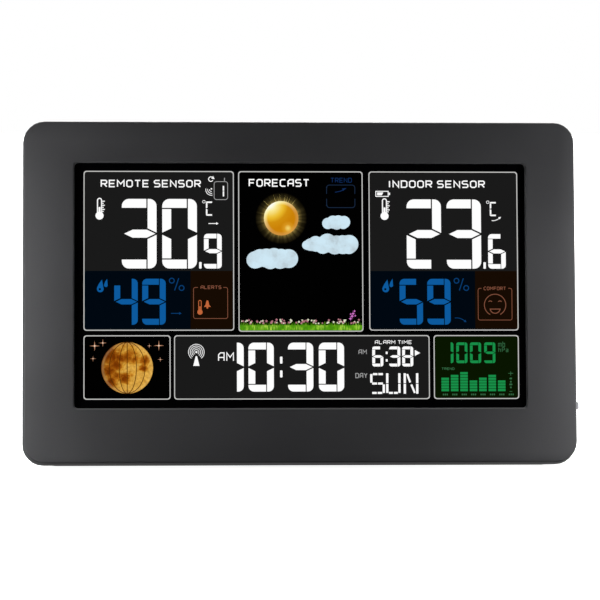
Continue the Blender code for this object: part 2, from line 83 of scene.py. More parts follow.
def set_inputs(tree, node, inputs):
    """Sets a node's inputs by name or number: each is a value, or another node's output to link."""
    for key, value in inputs.items():
        if isinstance(value, bpy.types.NodeSocket):
            tree.links.new(value, node.inputs[key])
        else:
            node.inputs[key].default_value = value


def add_node(tree, kind, inputs=None, **settings):
    """Adds a shader node, sets its properties and inputs, and gives it back."""
    node = tree.nodes.new(f"ShaderNode{kind}")
    for name, value in settings.items():
        setattr(node, name, value)
    set_inputs(tree, node, inputs or {})
    return node


def new_material(name, colour, roughness=0.5, metallic=0.0, specular=0.5):
    mat = bpy.data.materials.new(name)
    mat.use_nodes = True
    shader = mat.node_tree.nodes["Principled BSDF"]
    set_inputs(mat.node_tree, shader, {
        "Base Color": (*colour, 1), "Roughness": roughness, "Metallic": metallic,
        "Specular IOR Level": specular,
    })
    return mat, mat.node_tree, shader


def object_place(tree):
    """A point's place in its object's own coordinates."""
    return add_node(tree, "TexCoord").outputs["Object"]


def texture(tree, kind, scale, stretch=(1, 1, 1), **inputs):
    """The value of a noise or Voronoi texture in object coordinates."""
    place = add_node(tree, "Mapping", {"Vector": object_place(tree), "Scale": stretch})
    inputs.update({"Scale": scale, "Vector": place.outputs["Vector"]})
    return add_node(tree, f"Tex{kind}", inputs).outputs[0]


def ramp(tree, source, stops):
    """Colours along a value: stops are (position, colour)."""
    node = add_node(tree, "ValToRGB", {"Fac": source})
    elements = node.color_ramp.elements
    while len(elements) < len(stops):
        elements.new(0.5)
    for element, (place, colour) in zip(elements, stops):
        element.position = place
        element.color = (*colour, 1)
    return node.outputs["Color"]


def spread(tree, source, low, high):
    """Maps 0..1 to low..high."""
    limits = {"To Min": low, "To Max": high, "Value": source}
    return add_node(tree, "MapRange", limits).outputs["Result"]


def bump(tree, shader, source, strength, distance):
    relief = add_node(tree, "Bump", {"Strength": strength, "Distance": distance, "Height": source})
    set_inputs(tree, shader, {"Normal": relief.outputs["Normal"]})


def moulded(name, colour, roughness, grain=2600.0, depth=0.00004, variation=0.25):
    """Moulded plastic: a fine spark-eroded texture, faint blotches and a slightly uneven sheen."""
    mat, tree, shader = new_material(name, colour, roughness)
    fine = texture(tree, "Noise", grain, Detail=3.0)
    broad = texture(tree, "Noise", 45.0, Detail=4.0)
    darker = [c * (1 - variation) for c in colour]
    lighter = [c * (1 + variation) for c in colour]
    set_inputs(tree, shader, {
        "Base Color": ramp(tree, broad, [(0.3, darker), (0.7, lighter)]),
        "Roughness": spread(tree, broad, roughness - 0.05, roughness + 0.05),
    })
    bump(tree, shader, fine, 0.35, depth)
    return mat


def metal(name, colour, roughness):
    """Plated metal with fine drawn lines."""
    mat, tree, shader = new_material(name, colour, roughness, metallic=1.0)
    lines = texture(tree, "Noise", 900.0, stretch=(1, 1, 12), Detail=3.0)
    set_inputs(tree, shader, {"Roughness": spread(tree, lines, roughness - 0.1, roughness + 0.12)})
    bump(tree, shader, lines, 0.15, 0.00002)
    return mat


def rubber(name, colour):
    mat, tree, shader = new_material(name, colour, 0.85, specular=0.25)
    dust = texture(tree, "Noise", 700.0, Detail=6.0)
    shade = ramp(tree, dust, [(0.35, colour), (0.8, [c * 2.2 + 0.01 for c in colour])])
    set_inputs(tree, shader, {"Base Color": shade})
    bump(tree, shader, dust, 0.5, 0.00008)
    return mat


def circuit(name):
    """Green solder mask with paler tracks."""
    mask, track = (0.01, 0.13, 0.05), (0.02, 0.24, 0.08)
    mat, tree, shader = new_material(name, mask, 0.35)
    cells = texture(tree, "Voronoi", 260.0, stretch=(1, 1, 3))
    set_inputs(tree, shader, {"Base Color": ramp(tree, cells, [(0.3, mask), (0.5, track)])})
    bump(tree, shader, cells, 0.2, 0.00004)
    return mat


def emissive(name, colour):
    """A part of the display that shines evenly, or in a colour that nodes work out."""
    mat, tree, shader = new_material(name, (0, 0, 0), 0.6, specular=0.0)
    light = colour(tree) if callable(colour) else (*colour, 1)
    set_inputs(tree, shader, {"Emission Color": light, "Emission Strength": 1.0})
    return mat


def srgb(red, green, blue):
    """A colour as linear light, from the usual 0 to 255 values."""
    levels = [level / 255 for level in (red, green, blue)]
    return tuple(c / 12.92 if c < 0.04 else ((c + 0.055) / 1.055) ** 2.4 for c in levels)


# ---------------------------------------------------------------- making pieces

# Heights out of the glass, low and high, in millimetres
GROUND = (0.02, 0.04)
FRAME_HEIGHT = (0.02, 0.08)
BAND = (0.045, 0.06)
INK = (0.05, 0.09)
ON_BAND = (0.065, 0.1)
OVER = (0.10, 0.13)
LIFT = 0.03  # what clears a coloured band
SHARP_ANGLE = math.radians(40)


def add_object(name, data):
    """A new object in the scene."""
    obj = bpy.data.objects.new(name, data)
    bpy.context.scene.collection.objects.link(obj)
    return obj


def piece(name, bm, mat, slot, body="case", matrix=SCREEN, smooth=False):
    """Turns a bmesh in millimetres into a finished piece that rides on a body."""
    bm.normal_update()
    bmesh.ops.recalc_face_normals(bm, faces=bm.faces)
    bmesh.ops.scale(bm, vec=(MM, MM, MM), verts=bm.verts)
    mesh = bpy.data.meshes.new(name)
    bm.to_mesh(mesh)
    bm.free()
    if smooth:
        mesh.shade_smooth()
        mesh.set_sharp_from_angle(angle=SHARP_ANGLE)
    mesh.materials.append(mat)
    obj = add_object(name, mesh)
    obj.matrix_world = matrix
    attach(obj, body)


def arc(centre, radius, start, end, steps=8):
    """Points on an arc, with angles in degrees, counter-clockwise from the right."""
    points = []
    for step in range(steps + 1):
        angle = math.radians(start + (end - start) * step / steps)
        points.append((centre[0] + radius * math.cos(angle), centre[1] + radius * math.sin(angle)))
    return points


def rounded(corners, radius, steps=6):
    """A closed outline with its corners rounded. Radius is one number or one for each corner."""
    radii = radius if isinstance(radius, (list, tuple)) else [radius] * len(corners)
    outline = []
    count = len(corners)
    for i, size in enumerate(radii):
        corner = Vector(corners[i])
        before = (Vector(corners[i - 1]) - corner).normalized()
        after = (Vector(corners[(i + 1) % count]) - corner).normalized()
        if size <= 0:
            outline.append(tuple(corner))
            continue
        half = before.angle(after) / 2
        reach = size / math.tan(half)
        start, end = corner + before * reach, corner + after * reach
        centre = corner + (before + after).normalized() * size / math.sin(half)
        first, last = start - centre, end - centre
        turn = first.angle(last)
        sign = 1 if first.x * last.y - first.y * last.x > 0 else -1
        for step in range(steps + 1):
            angle = sign * turn * step / steps
            spin = (math.cos(angle), math.sin(angle))
            outline.append(
                (
                    centre.x + first.x * spin[0] - first.y * spin[1],
                    centre.y + first.x * spin[1] + first.y * spin[0],
                )
            )
    return outline


def rectangle(u, v, radius=0.0):
    corners = [(u[0], v[0]), (u[1], v[0]), (u[1], v[1]), (u[0], v[1])]
    return rounded(corners, radius) if radius else corners


def strip(points, width, closed=False):
    """The outline, or for a closed path the two outlines, of a line of even width with mitred bends."""
    count = len(points)
    left, right = [], []
    for i, point in enumerate(points):
        here = Vector(point)
        ahead = Vector(points[(i + 1) % count]) - here if closed or i < count - 1 else None
        back = here - Vector(points[i - 1]) if closed or i > 0 else None
        into = (back or ahead).normalized()
        out = (ahead or back).normalized()
        normal_in, normal_out = Vector((-into.y, into.x)), Vector((-out.y, out.x))
        mitre = (normal_in + normal_out).normalized()
        reach = width / 2 / max(0.45, mitre.dot(normal_in))
        left.append(tuple(here + mitre * reach))
        right.append(tuple(here - mitre * reach))
    return (left, right) if closed else left + right[::-1]


def add_plate(bm, outline, span=INK):
    """Adds a flat plate with this outline, between two heights."""
    top, base = ([bm.verts.new((u, v, height)) for u, v in outline] for height in span[::-1])
    count = len(outline)
    bm.faces.new(top)
    bm.faces.new(base[::-1])
    for i in range(count):
        j = (i + 1) % count
        bm.faces.new((base[i], base[j], top[j], top[i]))


def add_block(bm, u, v, span=INK, radius=0.0):
    """Adds a rectangular plate between two U values and two V values."""
    add_plate(bm, rectangle(u, v, radius), span)


def add_disc(bm, centre, radius, steps, span=INK):
    add_plate(bm, circle(centre, radius, steps), span)


def add_ring(bm, outer, inner, span=INK):
    """Adds a closed band between two outlines with the same number of points."""
    low, high = span
    count = len(outer)
    rows = []
    for outline, height in ((outer, low), (outer, high), (inner, high), (inner, low)):
        rows.append([bm.verts.new((u, v, height)) for u, v in outline])
    for k in range(4):
        for i in range(count):
            j = (i + 1) % count
            bm.faces.new((rows[k][i], rows[k][j], rows[(k + 1) % 4][j], rows[(k + 1) % 4][i]))


def add_line(bm, points, width, span=INK, closed=False):
    """Adds a line of even width, open or closed."""
    if closed:
        add_ring(bm, *strip(points, width, closed=True), span)
    else:
        add_plate(bm, strip(points, width), span)


def circle(centre, radius, steps=32):
    return arc(centre, radius, 0, 360, steps)[:-1]


# ---------------------------------------------------------------- figures and letters

FIGURE_SEGMENTS = {
    "0": "abcdef", "1": "bc", "2": "abged", "3": "abgcd", "4": "fgbc",
    "5": "afgcd", "6": "afgedc", "7": "abc", "8": "abcdefg", "9": "abcdfg", "C": "adef",
}


def segment_outlines(place, width, height, stroke):
    """The seven segments of a figure whose lower left corner is at place."""
    u0, v0 = place
    gap = 0.14 * stroke
    radius = 0.8 * stroke
    left, right = u0, u0 + width
    inner_left, inner_right = left + stroke, right - stroke
    top, waist = v0 + height, v0 + height / 2
    slope = 0.48 * stroke
    tip = gap * 0.9
    upper = {
        "a": (rectangle((left, inner_right - gap), (top - stroke, top)), [0, 0, 0, radius]),
        "b": (
            [(inner_right, waist + slope + tip), (right, waist + tip), (right, top), (inner_right, top)],
            [0, 0, radius, 0],
        ),
        "f": (
            [
                (left, waist + tip),
                (inner_left, waist + slope + tip),
                (inner_left, top - stroke - gap),
                (left, top - stroke - gap),
            ],
            [0, 0, 0, 0],
        ),
    }
    outlines = {}
    for name, (corners, radii) in upper.items():
        outlines[name] = rounded(corners, radii)
        mirrored = [(u, 2 * waist - v) for u, v in corners]
        outlines[{"a": "d", "b": "c", "f": "e"}[name]] = rounded(mirrored[::-1], radii[::-1])
    thick = 0.9 * stroke / 2
    start, end = left + gap + 0.12 * stroke, right - gap
    outlines["g"] = [
        (start, waist),
        (start + 0.95 * stroke, waist - thick),
        (end - 0.95 * stroke, waist - thick),
        (end, waist),
        (end - 0.95 * stroke, waist + thick),
        (start + 0.95 * stroke, waist + thick),
    ]
    return outlines


def add_figure(bm, figure, place, size, span=INK):
    """A seven-segment figure. Its size is a width, a height and a stroke."""
    outlines = segment_outlines(place, *size)
    for name in FIGURE_SEGMENTS[figure]:
        add_plate(bm, outlines[name], span)


# Letters are strokes on a grid 4 wide and 6 high
LETTERS = {
    "A": [[(0, 0), (0, 4.6), (1.4, 6), (4, 6), (4, 0)], [(0, 2.5), (4, 2.5)]],
    "C": [[(4, 6), (1.2, 6), (0, 5), (0, 1), (1.2, 0), (4, 0)]],
    "D": [[(0, 0), (0, 6), (3, 6), (4, 5), (4, 1), (3, 0), (0, 0)]],
    "E": [[(4, 6), (0, 6), (0, 0), (4, 0)], [(0, 3), (3.6, 3)]],
    "F": [[(4, 6), (0, 6), (0, 0)], [(0, 3), (3.5, 3)]],
    "I": [[(2, 0), (2, 6)]],
    "L": [[(0, 6), (0, 0), (3.8, 0)]],
    "M": [[(0, 0), (0, 6), (2.4, 2.6), (4.8, 6), (4.8, 0)]],
    "N": [[(0, 0), (0, 6), (4, 0), (4, 6)]],
    "O": [[(1, 0), (0, 1), (0, 5), (1, 6), (3, 6), (4, 5), (4, 1), (3, 0), (1, 0)]],
    "P": [[(0, 0), (0, 6), (3.2, 6), (4, 5.2), (4, 3.6), (3.2, 2.8), (0, 2.8)]],
    "R": [[(0, 0), (0, 6), (3.2, 6), (4, 5.2), (4, 3.6), (3.2, 2.8), (0, 2.8)], [(2, 2.8), (4, 0)]],
    "S": [[
        (3.9, 6), (0.8, 6), (0, 5.2), (0, 3.9), (0.8, 3.1), (3.2, 3.1), (4, 2.3), (4, 0.8), (3.2, 0), (0, 0),
    ]],
    "T": [[(0, 6), (4, 6)], [(2, 6), (2, 0)]],
    "Y": [[(0, 6), (2, 3.2), (4, 6)], [(2, 3.2), (2, 0)]],
    "a": [[(0.4, 4), (3.4, 4), (3.4, 0), (0.6, 0), (0.4, 2), (3.4, 2.2)]],
    "b": [[(0.4, 6), (0.4, 0), (3.4, 0), (3.4, 4), (0.4, 4)]],
    "h": [[(0.4, 6), (0.4, 0)], [(0.4, 4), (3.2, 4), (3.4, 3.6), (3.4, 0)]],
    "m": [[(0, 0), (0, 4), (4.4, 4), (4.4, 0)], [(2.2, 4), (2.2, 0)]],
}
LETTER_HEIGHT, LETTER_GAP = 6, 2.0
USUAL_STEP = 6.0
LETTER_STEP = {"I": 2.6, "M": 6.9, "m": 6.3, " ": 2.4}


def word_width(word):
    """The width of a word on the letter grid, up to the end of its last letter."""
    return sum(LETTER_STEP.get(letter, USUAL_STEP) for letter in word) - LETTER_GAP


def add_word(bm, word, u, v, weight):
    """A word drawn between two U values and two V values, with strokes of this width."""
    across = (u[1] - u[0] - weight) / word_width(word)
    upward = (v[1] - v[0] - weight) / LETTER_HEIGHT
    along = u[0] + weight / 2
    for letter in word:
        shift = -2 if letter == "I" else 0
        for stroke in LETTERS.get(letter, []):
            points = [(along + (x + shift) * across, v[0] + weight / 2 + y * upward) for x, y in stroke]
            loop = stroke[0] == stroke[-1]
            add_line(bm, points[:-1] if loop else points, weight, closed=loop)
        along += LETTER_STEP.get(letter, USUAL_STEP) * across


# ---------------------------------------------------------------- display layout, in millimetres

TOP_ROW, LOW_ROW = (-16.7, 42.5), (-42.1, -18.4)
CELLS = {
    "remote": ((-80.1, -24.6), TOP_ROW),
    "forecast": ((-23.0, 23.2), (-17.1, 42.5)),
    "indoor": ((25.4, 80.9), TOP_ROW),
    "moon": ((-80.1, -48.1), LOW_ROW),
    "clock": ((-46.8, 47.7), LOW_ROW),
    "pressure": ((49.2, 80.9), LOW_ROW),
}
FRAME_LINE, FRAME_RADIUS = 0.36, 1.1
CELL_ROOM = FRAME_LINE + 0.05  # from a cell's outer edge to its coloured ground
INDOOR_SHIFT = 105.5  # the indoor cell repeats the remote one this far to the right
BAND_V = (-16.0, 5.4)  # humidity band across the foot of each sensor cell
BAND_SPLIT = -40.7  # where the blue part of the remote cell's band ends and the brown one starts


def ink(name, *levels):
    """A display colour that shines evenly, from its 0 to 255 levels."""
    return emissive(f"display_{name}", srgb(*levels))


WHITE_INK = ink("white", 255, 255, 255)
SILVER_INK = ink("frame_line", 192, 192, 190)
GREY_INK = ink("grey", 158, 158, 158)
GREY_GROUND = ink("grey_cell", 26, 26, 26)
BLACK_GROUND = ink("black_cell", 1, 1, 1)
BLUE_INK = ink("blue", 13, 90, 158)
BLUE_DIM = ink("blue_dim", 11, 60, 112)
NAVY_GROUND = ink("navy_band", 1, 8, 17)
ORANGE_INK = ink("orange", 192, 102, 58)
ORANGE_DIM = ink("orange_dim", 134, 82, 62)
BROWN_GROUND = ink("brown_band", 22, 11, 3)
GREEN_INK = ink("green", 24, 142, 72)
GREEN_DIM = ink("green_dim", 52, 104, 66)
GREEN_GROUND = ink("green_cell", 9, 21, 1)
TREND_INK = ink("trend_blue", 16, 44, 88)
TREND_LINE = ink("trend_line", 24, 40, 62)
AMBER_INK = ink("amber", 206, 150, 116)
STAR_INK = ink("star_core", 238, 208, 184)
ART_SLOT = "display_film"


def art(name, mat, draw, lift=0.0, **options):
    """Makes a piece of display artwork: draw adds its plates to an empty bmesh, which is then lifted."""
    bm = bmesh.new()
    draw(bm)
    for vertex in bm.verts:
        vertex.co.z += lift
    piece(name, bm, mat, slot=ART_SLOT, **options)


def shifted(pair, by):
    return (pair[0] + by, pair[1] + by)


def inset(limits, by):
    return (limits[0] + by, limits[1] - by)


def draw_frames(bm):
    for u, v in CELLS.values():
        outer = rectangle(u, v, FRAME_RADIUS)
        inner = rectangle(inset(u, FRAME_LINE), inset(v, FRAME_LINE), FRAME_RADIUS - FRAME_LINE / 2)
        add_ring(bm, outer, inner, FRAME_HEIGHT)


def cell_ground(name, mat):
    u, v = CELLS[name]
    outline = rectangle(inset(u, CELL_ROOM), inset(v, CELL_ROOM), FRAME_RADIUS - FRAME_LINE / 2)
    art(f"{name}_cell", mat, lambda bm: add_plate(bm, outline, GROUND))


def thermometer(bm, u, v, ticks=6):
    """A bulb and an open tube with ticks up one side, between two V values."""
    width = u[1] - u[0]
    bulb = width * 0.44
    centre = (u[0] + bulb, v[0] + bulb)
    tube = width * 0.22
    line = width * 0.12
    add_disc(bm, centre, bulb, 24)
    top = v[1] - tube
    base = v[0] + 1.75 * bulb
    outline = [(centre[0] - tube, base)] + arc((centre[0], top), tube, 180, 0, 8)
    outline.append((centre[0] + tube, base))
    add_line(bm, outline, line)
    mercury = inset((centre[0] - tube, centre[0] + tube), line * 0.9)
    add_block(bm, mercury, (base - 0.1, base + (top - base) * 0.45))
    for tick in range(ticks):
        level = base + (top - base) * (tick + 0.3) / ticks
        reach = u[1] if tick % 2 else u[1] - line
        add_block(bm, (centre[0] + tube * 1.35, reach), (level, level + line * 0.9))


def drop_outline(centre, radius, height, bend):
    """A drop with its round end down and a tip bent to one side."""
    tilt = math.degrees(math.asin(radius / height))
    tip = (centre[0] + bend, centre[1] + height)
    waist = (centre[0] - radius * 0.45, centre[1] + height * 0.52)
    return arc(centre, radius, 180 - tilt, 360 + tilt, 18) + [tip, waist]


def drops(bm, u, v):
    """A large drop, and a small one above its shoulder. The spot on the large drop is drawn by drop_spot."""
    width, height = u[1] - u[0], v[1] - v[0]
    big, small = width * 0.3, width * 0.16
    centre = (u[0] + big, v[0] + big)
    add_plate(bm, drop_outline(centre, big, height * 0.66, big * 0.5))
    shoulder = (u[1] - small * 1.3, v[1] - height * 0.5)
    add_plate(bm, drop_outline(shoulder, small, height * 0.46, small * 0.7))


def drop_spot(bm, u, v):
    width = u[1] - u[0]
    centre = (u[0] + width * 0.26, v[0] + width * 0.27)
    add_disc(bm, centre, width * 0.1, 12, OVER)


def arrow(bm, points, weight, head):
    """A line with a solid head at its end."""
    add_line(bm, points, weight)
    tip, before = Vector(points[-1]), Vector(points[-2])
    ahead = (tip - before).normalized()
    side = Vector((-ahead.y, ahead.x))
    add_plate(bm, [tip + ahead * head, tip + side * head * 0.55, tip - side * head * 0.55], OVER)


def percent(bm, u, v, weight):
    width, height = u[1] - u[0], v[1] - v[0]
    radius = height * 0.2
    for centre in ((u[0] + radius, v[1] - radius), (u[1] - radius, v[0] + radius)):
        add_line(bm, circle(centre, radius, 20), weight, closed=True)
    lean = width * 0.14
    middle_u = (u[0] + u[1]) / 2
    add_line(bm, [(middle_u - lean, v[0]), (middle_u + lean, v[1])], weight)


def broken_box(bm, u, v, gap, weight, radius=0.7):
    """A rounded box whose top line is open between two U values, for the word set into it."""
    left, right = u[0] + radius, u[1] - radius
    points = [(gap[0], v[1])]
    points += arc((left, v[1] - radius), radius, 90, 180, 4)
    points += arc((left, v[0] + radius), radius, 180, 270, 4)
    points += arc((right, v[0] + radius), radius, 270, 360, 4)
    points += arc((right, v[1] - radius), radius, 0, 90, 4)
    points.append((gap[1], v[1]))
    add_line(bm, points, weight)


# Figures: width, height and stroke
BIG = (12.8, 25.8, 3.3)
HALF = (6.55, 12.9, 1.7)
HUMID = (8.65, 17.0, 2.2)
SENSOR_FOOT = 6.3
HUMID_FOOT = -14.5


def sensor_cell(name, title, title_u, tens, units, tenths, humidity, shift):
    """One of the two cells with a temperature above a humidity band.

    Places are the remote cell's, and shift moves them to this cell.
    """
    cell_ground(name, GREY_GROUND)
    u = CELLS[name][0]
    split = BAND_SPLIT + shift
    art(f"{name}_humidity_band", NAVY_GROUND,
        lambda bm: add_block(bm, (u[0] + CELL_ROOM, split), BAND_V, BAND))
    art(f"{name}_comfort_band", BROWN_GROUND,
        lambda bm: add_block(bm, (split, u[1] - CELL_ROOM), BAND_V, BAND))

    def draw_temperature(bm):
        for figure, place in ((tens, -66.0), (units, -51.1)):
            add_figure(bm, figure, (place + shift, SENSOR_FOOT), BIG)
        add_figure(bm, tenths, (-35.7 + shift, SENSOR_FOOT), HALF)
        point = shifted((-37.5, -36.6), shift)
        add_block(bm, point, (SENSOR_FOOT, SENSOR_FOOT + 2.4), radius=0.2)

    def draw_marks(bm):
        add_word(bm, title, title_u, (36.4, 39.2), 0.45)
        add_figure(bm, "C", (-34.95 + shift, 25.9), (2.9, 5.3, 0.56))
        add_line(bm, circle((-35.7 + shift, 31.1), 0.5, 16), 0.18, closed=True)
        thermometer(bm, shifted((-75.7, -72.3), shift), (24.4, 32.3))

    def draw_humidity(bm):
        for figure, place in zip(humidity, (-68.8, -58.5)):
            add_figure(bm, figure, (place + shift, HUMID_FOOT), HUMID, ON_BAND)

    drops_at = (shifted((-75.2, -71.0), shift), (-2.5, 2.7))
    percent_at = (shifted((-48.5, -43.1), shift), (-1.8, 2.7))
    art(f"{name}_temperature", WHITE_INK, draw_temperature)
    art(f"{name}_legend", WHITE_INK, draw_marks)
    art(f"{name}_humidity", BLUE_INK, draw_humidity)
    art(f"{name}_drops", BLUE_INK, lambda bm: drops(bm, *drops_at), LIFT)
    art(f"{name}_drop_spot", NAVY_GROUND, lambda bm: drop_spot(bm, *drops_at), LIFT)
    art(f"{name}_percent", BLUE_DIM, lambda bm: percent(bm, *percent_at, 0.36), LIFT)


def build_remote_cell():
    sensor_cell("remote", "REMOTE SENSOR", (-73.8, -36.8), "3", "0", "9", "49", 0.0)

    def draw_channel(bm):
        add_line(bm, rectangle((-31.9, -26.9), (31.9, 38.6), 0.9), 0.24, closed=True)
        add_block(bm, (-28.2, -27.9), (38.8, 40.0))

    def draw_radio_marks(bm):
        for v in ((33.1, 35.0), (35.2, 37.0)):
            add_block(bm, (-28.7, -28.2), v)
        add_line(bm, arc((-33.1, 39.5), 0.85, 60, 330, 12), 0.3)
        add_plate(bm, [(-32.9, 39.7), (-31.7, 39.5), (-32.3, 40.7)], OVER)
        for radius in (0.7, 1.4, 2.1):
            add_line(bm, arc((-32.9, 35.6), radius, 170, 280, 8), 0.22)
        add_disc(bm, (-32.9, 35.9), 0.3, 10)
        arrow(bm, [(-34.0, 23.0), (-31.2, 23.0)], 0.28, 0.9)

    def draw_alert_mark(bm):
        thermometer(bm, (-38.2, -36.0), (-10.8, -5.5), ticks=0)
        bell = [(-35.8, -7.9), (-35.2, -7.2), (-34.9, -5.9)] + arc((-34.5, -5.9), 0.4, 180, 0, 5)
        bell += [(-34.1, -5.9), (-33.8, -7.2), (-33.2, -7.9)]
        add_plate(bm, bell)
        add_disc(bm, (-34.5, -8.2), 0.35, 12, OVER)

    def draw_alert_box(bm):
        broken_box(bm, (-39.6, -27.0), (-12.2, -0.7), (-38.0, -28.6), 0.2)
        add_word(bm, "ALERTS", (-37.0, -29.3), (-1.3, 0.0), 0.22)

    art("remote_channel_box", GREY_INK, draw_channel)
    art("remote_radio_marks", WHITE_INK, draw_radio_marks)
    art("alert_mark", ORANGE_INK, draw_alert_mark, LIFT)
    art("alert_box", ORANGE_DIM, draw_alert_box, LIFT)
    trend = [(-47.9, -10.3), (-44.9, -10.3)]
    art("remote_trend_arrow", BLUE_DIM, lambda bm: arrow(bm, trend, 0.26, 0.9), LIFT)


def build_indoor_cell():
    sensor_cell("indoor", "INDOOR SENSOR", (33.0, 68.8), "2", "3", "6", "59", INDOOR_SHIFT)

    def draw_battery_mark(bm):
        add_line(bm, rectangle((28.1, 32.7), (33.2, 35.1)), 0.3, closed=True)
        add_block(bm, (32.9, 33.4), (33.7, 34.6))
        add_plate(bm, [(28.6, 33.6), (30.3, 33.6), (30.9, 34.7), (28.6, 34.7)])
        arrow(bm, arc((71.7, 27.6), 3.4, 262, 312, 6), 0.26, 0.9)

    def draw_smile(bm):
        centre = (72.2, -7.2)
        add_line(bm, arc(centre, 4.0, -62, 242, 40), 0.27)
        for side in (-1, 1):
            add_line(bm, arc((centre[0] + side * 1.8, 0.7 + centre[1]), 0.8, 40, 140, 6), 0.28)
        smile = arc((centre[0], centre[1] - 1.2), 1.9, 190, 350, 12)
        add_line(bm, smile, 0.3, closed=True)

    def draw_comfort_box(bm):
        broken_box(bm, (65.9, 78.5), (-12.8, -1.0), (67.2, 77.2), 0.2)
        add_word(bm, "COMFORT", (68.0, 76.3), (-1.7, -0.4), 0.2)

    art("indoor_battery_mark", WHITE_INK, draw_battery_mark)
    art("comfort_face", ORANGE_DIM, draw_smile, LIFT)
    art("comfort_box", ORANGE_DIM, draw_comfort_box, LIFT)
    trend = arc((57.8, -16.6), 4.6, 98, 50, 6)
    art("indoor_trend_arrow", BLUE_DIM, lambda bm: arrow(bm, trend, 0.26, 0.9), LIFT)


def build_clock_cell():
    cell_ground("clock", GREY_GROUND)
    figure, small = (9.35, 18.05, 2.5), (4.1, 7.4, 1.05)
    foot = -39.2

    def draw_time(bm):
        for digit, place in (("1", -30.5), ("0", -19.4), ("3", -4.8), ("0", 6.6)):
            add_figure(bm, digit, (place, foot), figure)
        for v in ((-34.0, -31.4), (-28.9, -26.3)):
            add_block(bm, (-7.75, -6.85), v, radius=0.3)

    def draw_alarm(bm):
        for digit, place in (("6", 26.4), ("3", 32.7), ("8", 37.5)):
            add_figure(bm, digit, (place, -30.0), small)
        for v in ((-28.2, -27.3), (-25.4, -24.5)):
            add_block(bm, (31.4, 32.1), v)
        add_plate(bm, [(42.2, -26.1), (44.2, -25.0), (42.2, -23.9)])

    def draw_day(bm):
        """Three letters of a fourteen-segment display: S, U and N."""
        weight, gap, notch = 0.85, 0.14, 0.18
        low, high = -40.2 + weight / 2, -32.4 - weight / 2
        waist = (low + high) / 2

        def across(left, right, v):
            half = (left + right) / 2
            for ends in ((left, half - notch), (half + notch, right)):
                add_line(bm, [(ends[0], v), (ends[1], v)], weight * 0.9)

        def upright(u, ends):
            add_line(bm, [(u, ends[0]), (u, ends[1])], weight)

        upper, lower = (waist + gap, high + 0.3), (low - 0.3, waist - gap)
        left, right = 26.0, 30.6
        across(left + 0.6, right - 0.3, high)
        across(left + 0.3, right - 0.3, waist)
        across(left + 0.3, right - 0.6, low)
        upright(left, (upper[0] + 0.2, upper[1] - 0.3))
        upright(right, (lower[0] + 0.3, lower[1] - 0.2))
        left, right = 31.9, 36.4
        across(left + 0.6, right - 0.6, low)
        for u in (left, right):
            upright(u, upper)
            upright(u, (lower[0] + 0.3, lower[1]))
        left, right = 38.4, 43.0
        for u in (left, right):
            upright(u, upper)
            upright(u, lower)
        add_line(bm, [(left + 0.9, high), (left + 2.0, waist + 0.4)], 0.7)
        add_line(bm, [(left + 2.4, waist - 0.4), (right - 0.9, low)], 0.7)

    def draw_words(bm):
        add_word(bm, "AM", (-30.6, -24.7), (-28.0, -24.7), 0.38)
        add_word(bm, "ALARM TIME", (27.4, 41.1), (-21.7, -20.3), 0.21)

    def draw_dim_words(bm):
        add_word(bm, "AM", (21.3, 24.4), (-25.5, -23.7), 0.24)
        add_word(bm, "DAY", (20.1, 24.6), (-34.3, -32.4), 0.28)

    def draw_mast(bm):
        centre = (-38.6, -24.6)
        for radius in (0.95, 1.6, 2.25, 2.9):
            add_line(bm, arc(centre, radius, -52, 232, 24), 0.22)
        add_disc(bm, centre, 0.4, 14)
        add_plate(bm, [(-39.75, -29.7), (-37.45, -29.7), (-38.35, -26.1), (-38.85, -26.1)], OVER)

    art("clock_time", WHITE_INK, draw_time)
    art("clock_alarm", WHITE_INK, draw_alarm)
    art("clock_day", WHITE_INK, draw_day)
    art("clock_words", WHITE_INK, draw_words)
    art("clock_dim_words", GREY_INK, draw_dim_words)
    art("clock_radio_mast", WHITE_INK, draw_mast)


def build_pressure_cell():
    cell_ground("pressure", GREEN_GROUND)

    def draw_pressure(bm):
        for digit, place in (("1", 52.4), ("0", 57.6), ("0", 62.7), ("9", 68.0)):
            add_figure(bm, digit, (place, -28.8), (4.15, 7.7, 1.0))

    def draw_bars(bm):
        for day, blocks in enumerate((5, 6, 7, 4, 5, 6, 4)):
            left = 52.0 + 3.5 * day
            for block in range(blocks):
                foot = -39.2 + 1.04 * block
                add_block(bm, (left, left + 2.8), (foot, foot + 0.86))

    def draw_pressure_marks(bm):
        add_word(bm, "mb", (73.2, 75.9), (-22.8, -20.7), 0.2)
        add_word(bm, "hPa", (73.2, 77.1), (-24.7, -23.0), 0.2)
        add_word(bm, "TREND", (52.1, 56.9), (-31.3, -30.4), 0.18)
        axis, top = 77.8, -32.6
        add_block(bm, (axis - 0.9, axis + 0.9), (top - 0.11, top + 0.11))
        add_block(bm, (axis - 0.11, axis + 0.11), (top - 0.8, top + 0.7), OVER)
        for v, size in ((-34.5, 0.45), (-35.7, 0.3), (-36.7, 0.55), (-37.8, 0.3)):
            add_block(bm, (axis - size, axis + size), (v - 0.3, v + 0.3), radius=0.2)
        add_block(bm, (axis - 0.5, axis + 0.5), (-39.4, -39.2))
        for day in range(8):
            left = 52.5 + 3.5 * day
            for part in (0.0, 0.7, 1.4):
                add_block(bm, (left + part, left + part + 0.45), (-40.7, -40.1))

    art("pressure_figures", GREEN_INK, draw_pressure)
    art("pressure_bars", GREEN_INK, draw_bars)
    art("pressure_marks", GREEN_DIM, draw_pressure_marks)


# ---------------------------------------------------------------- pictures on the display

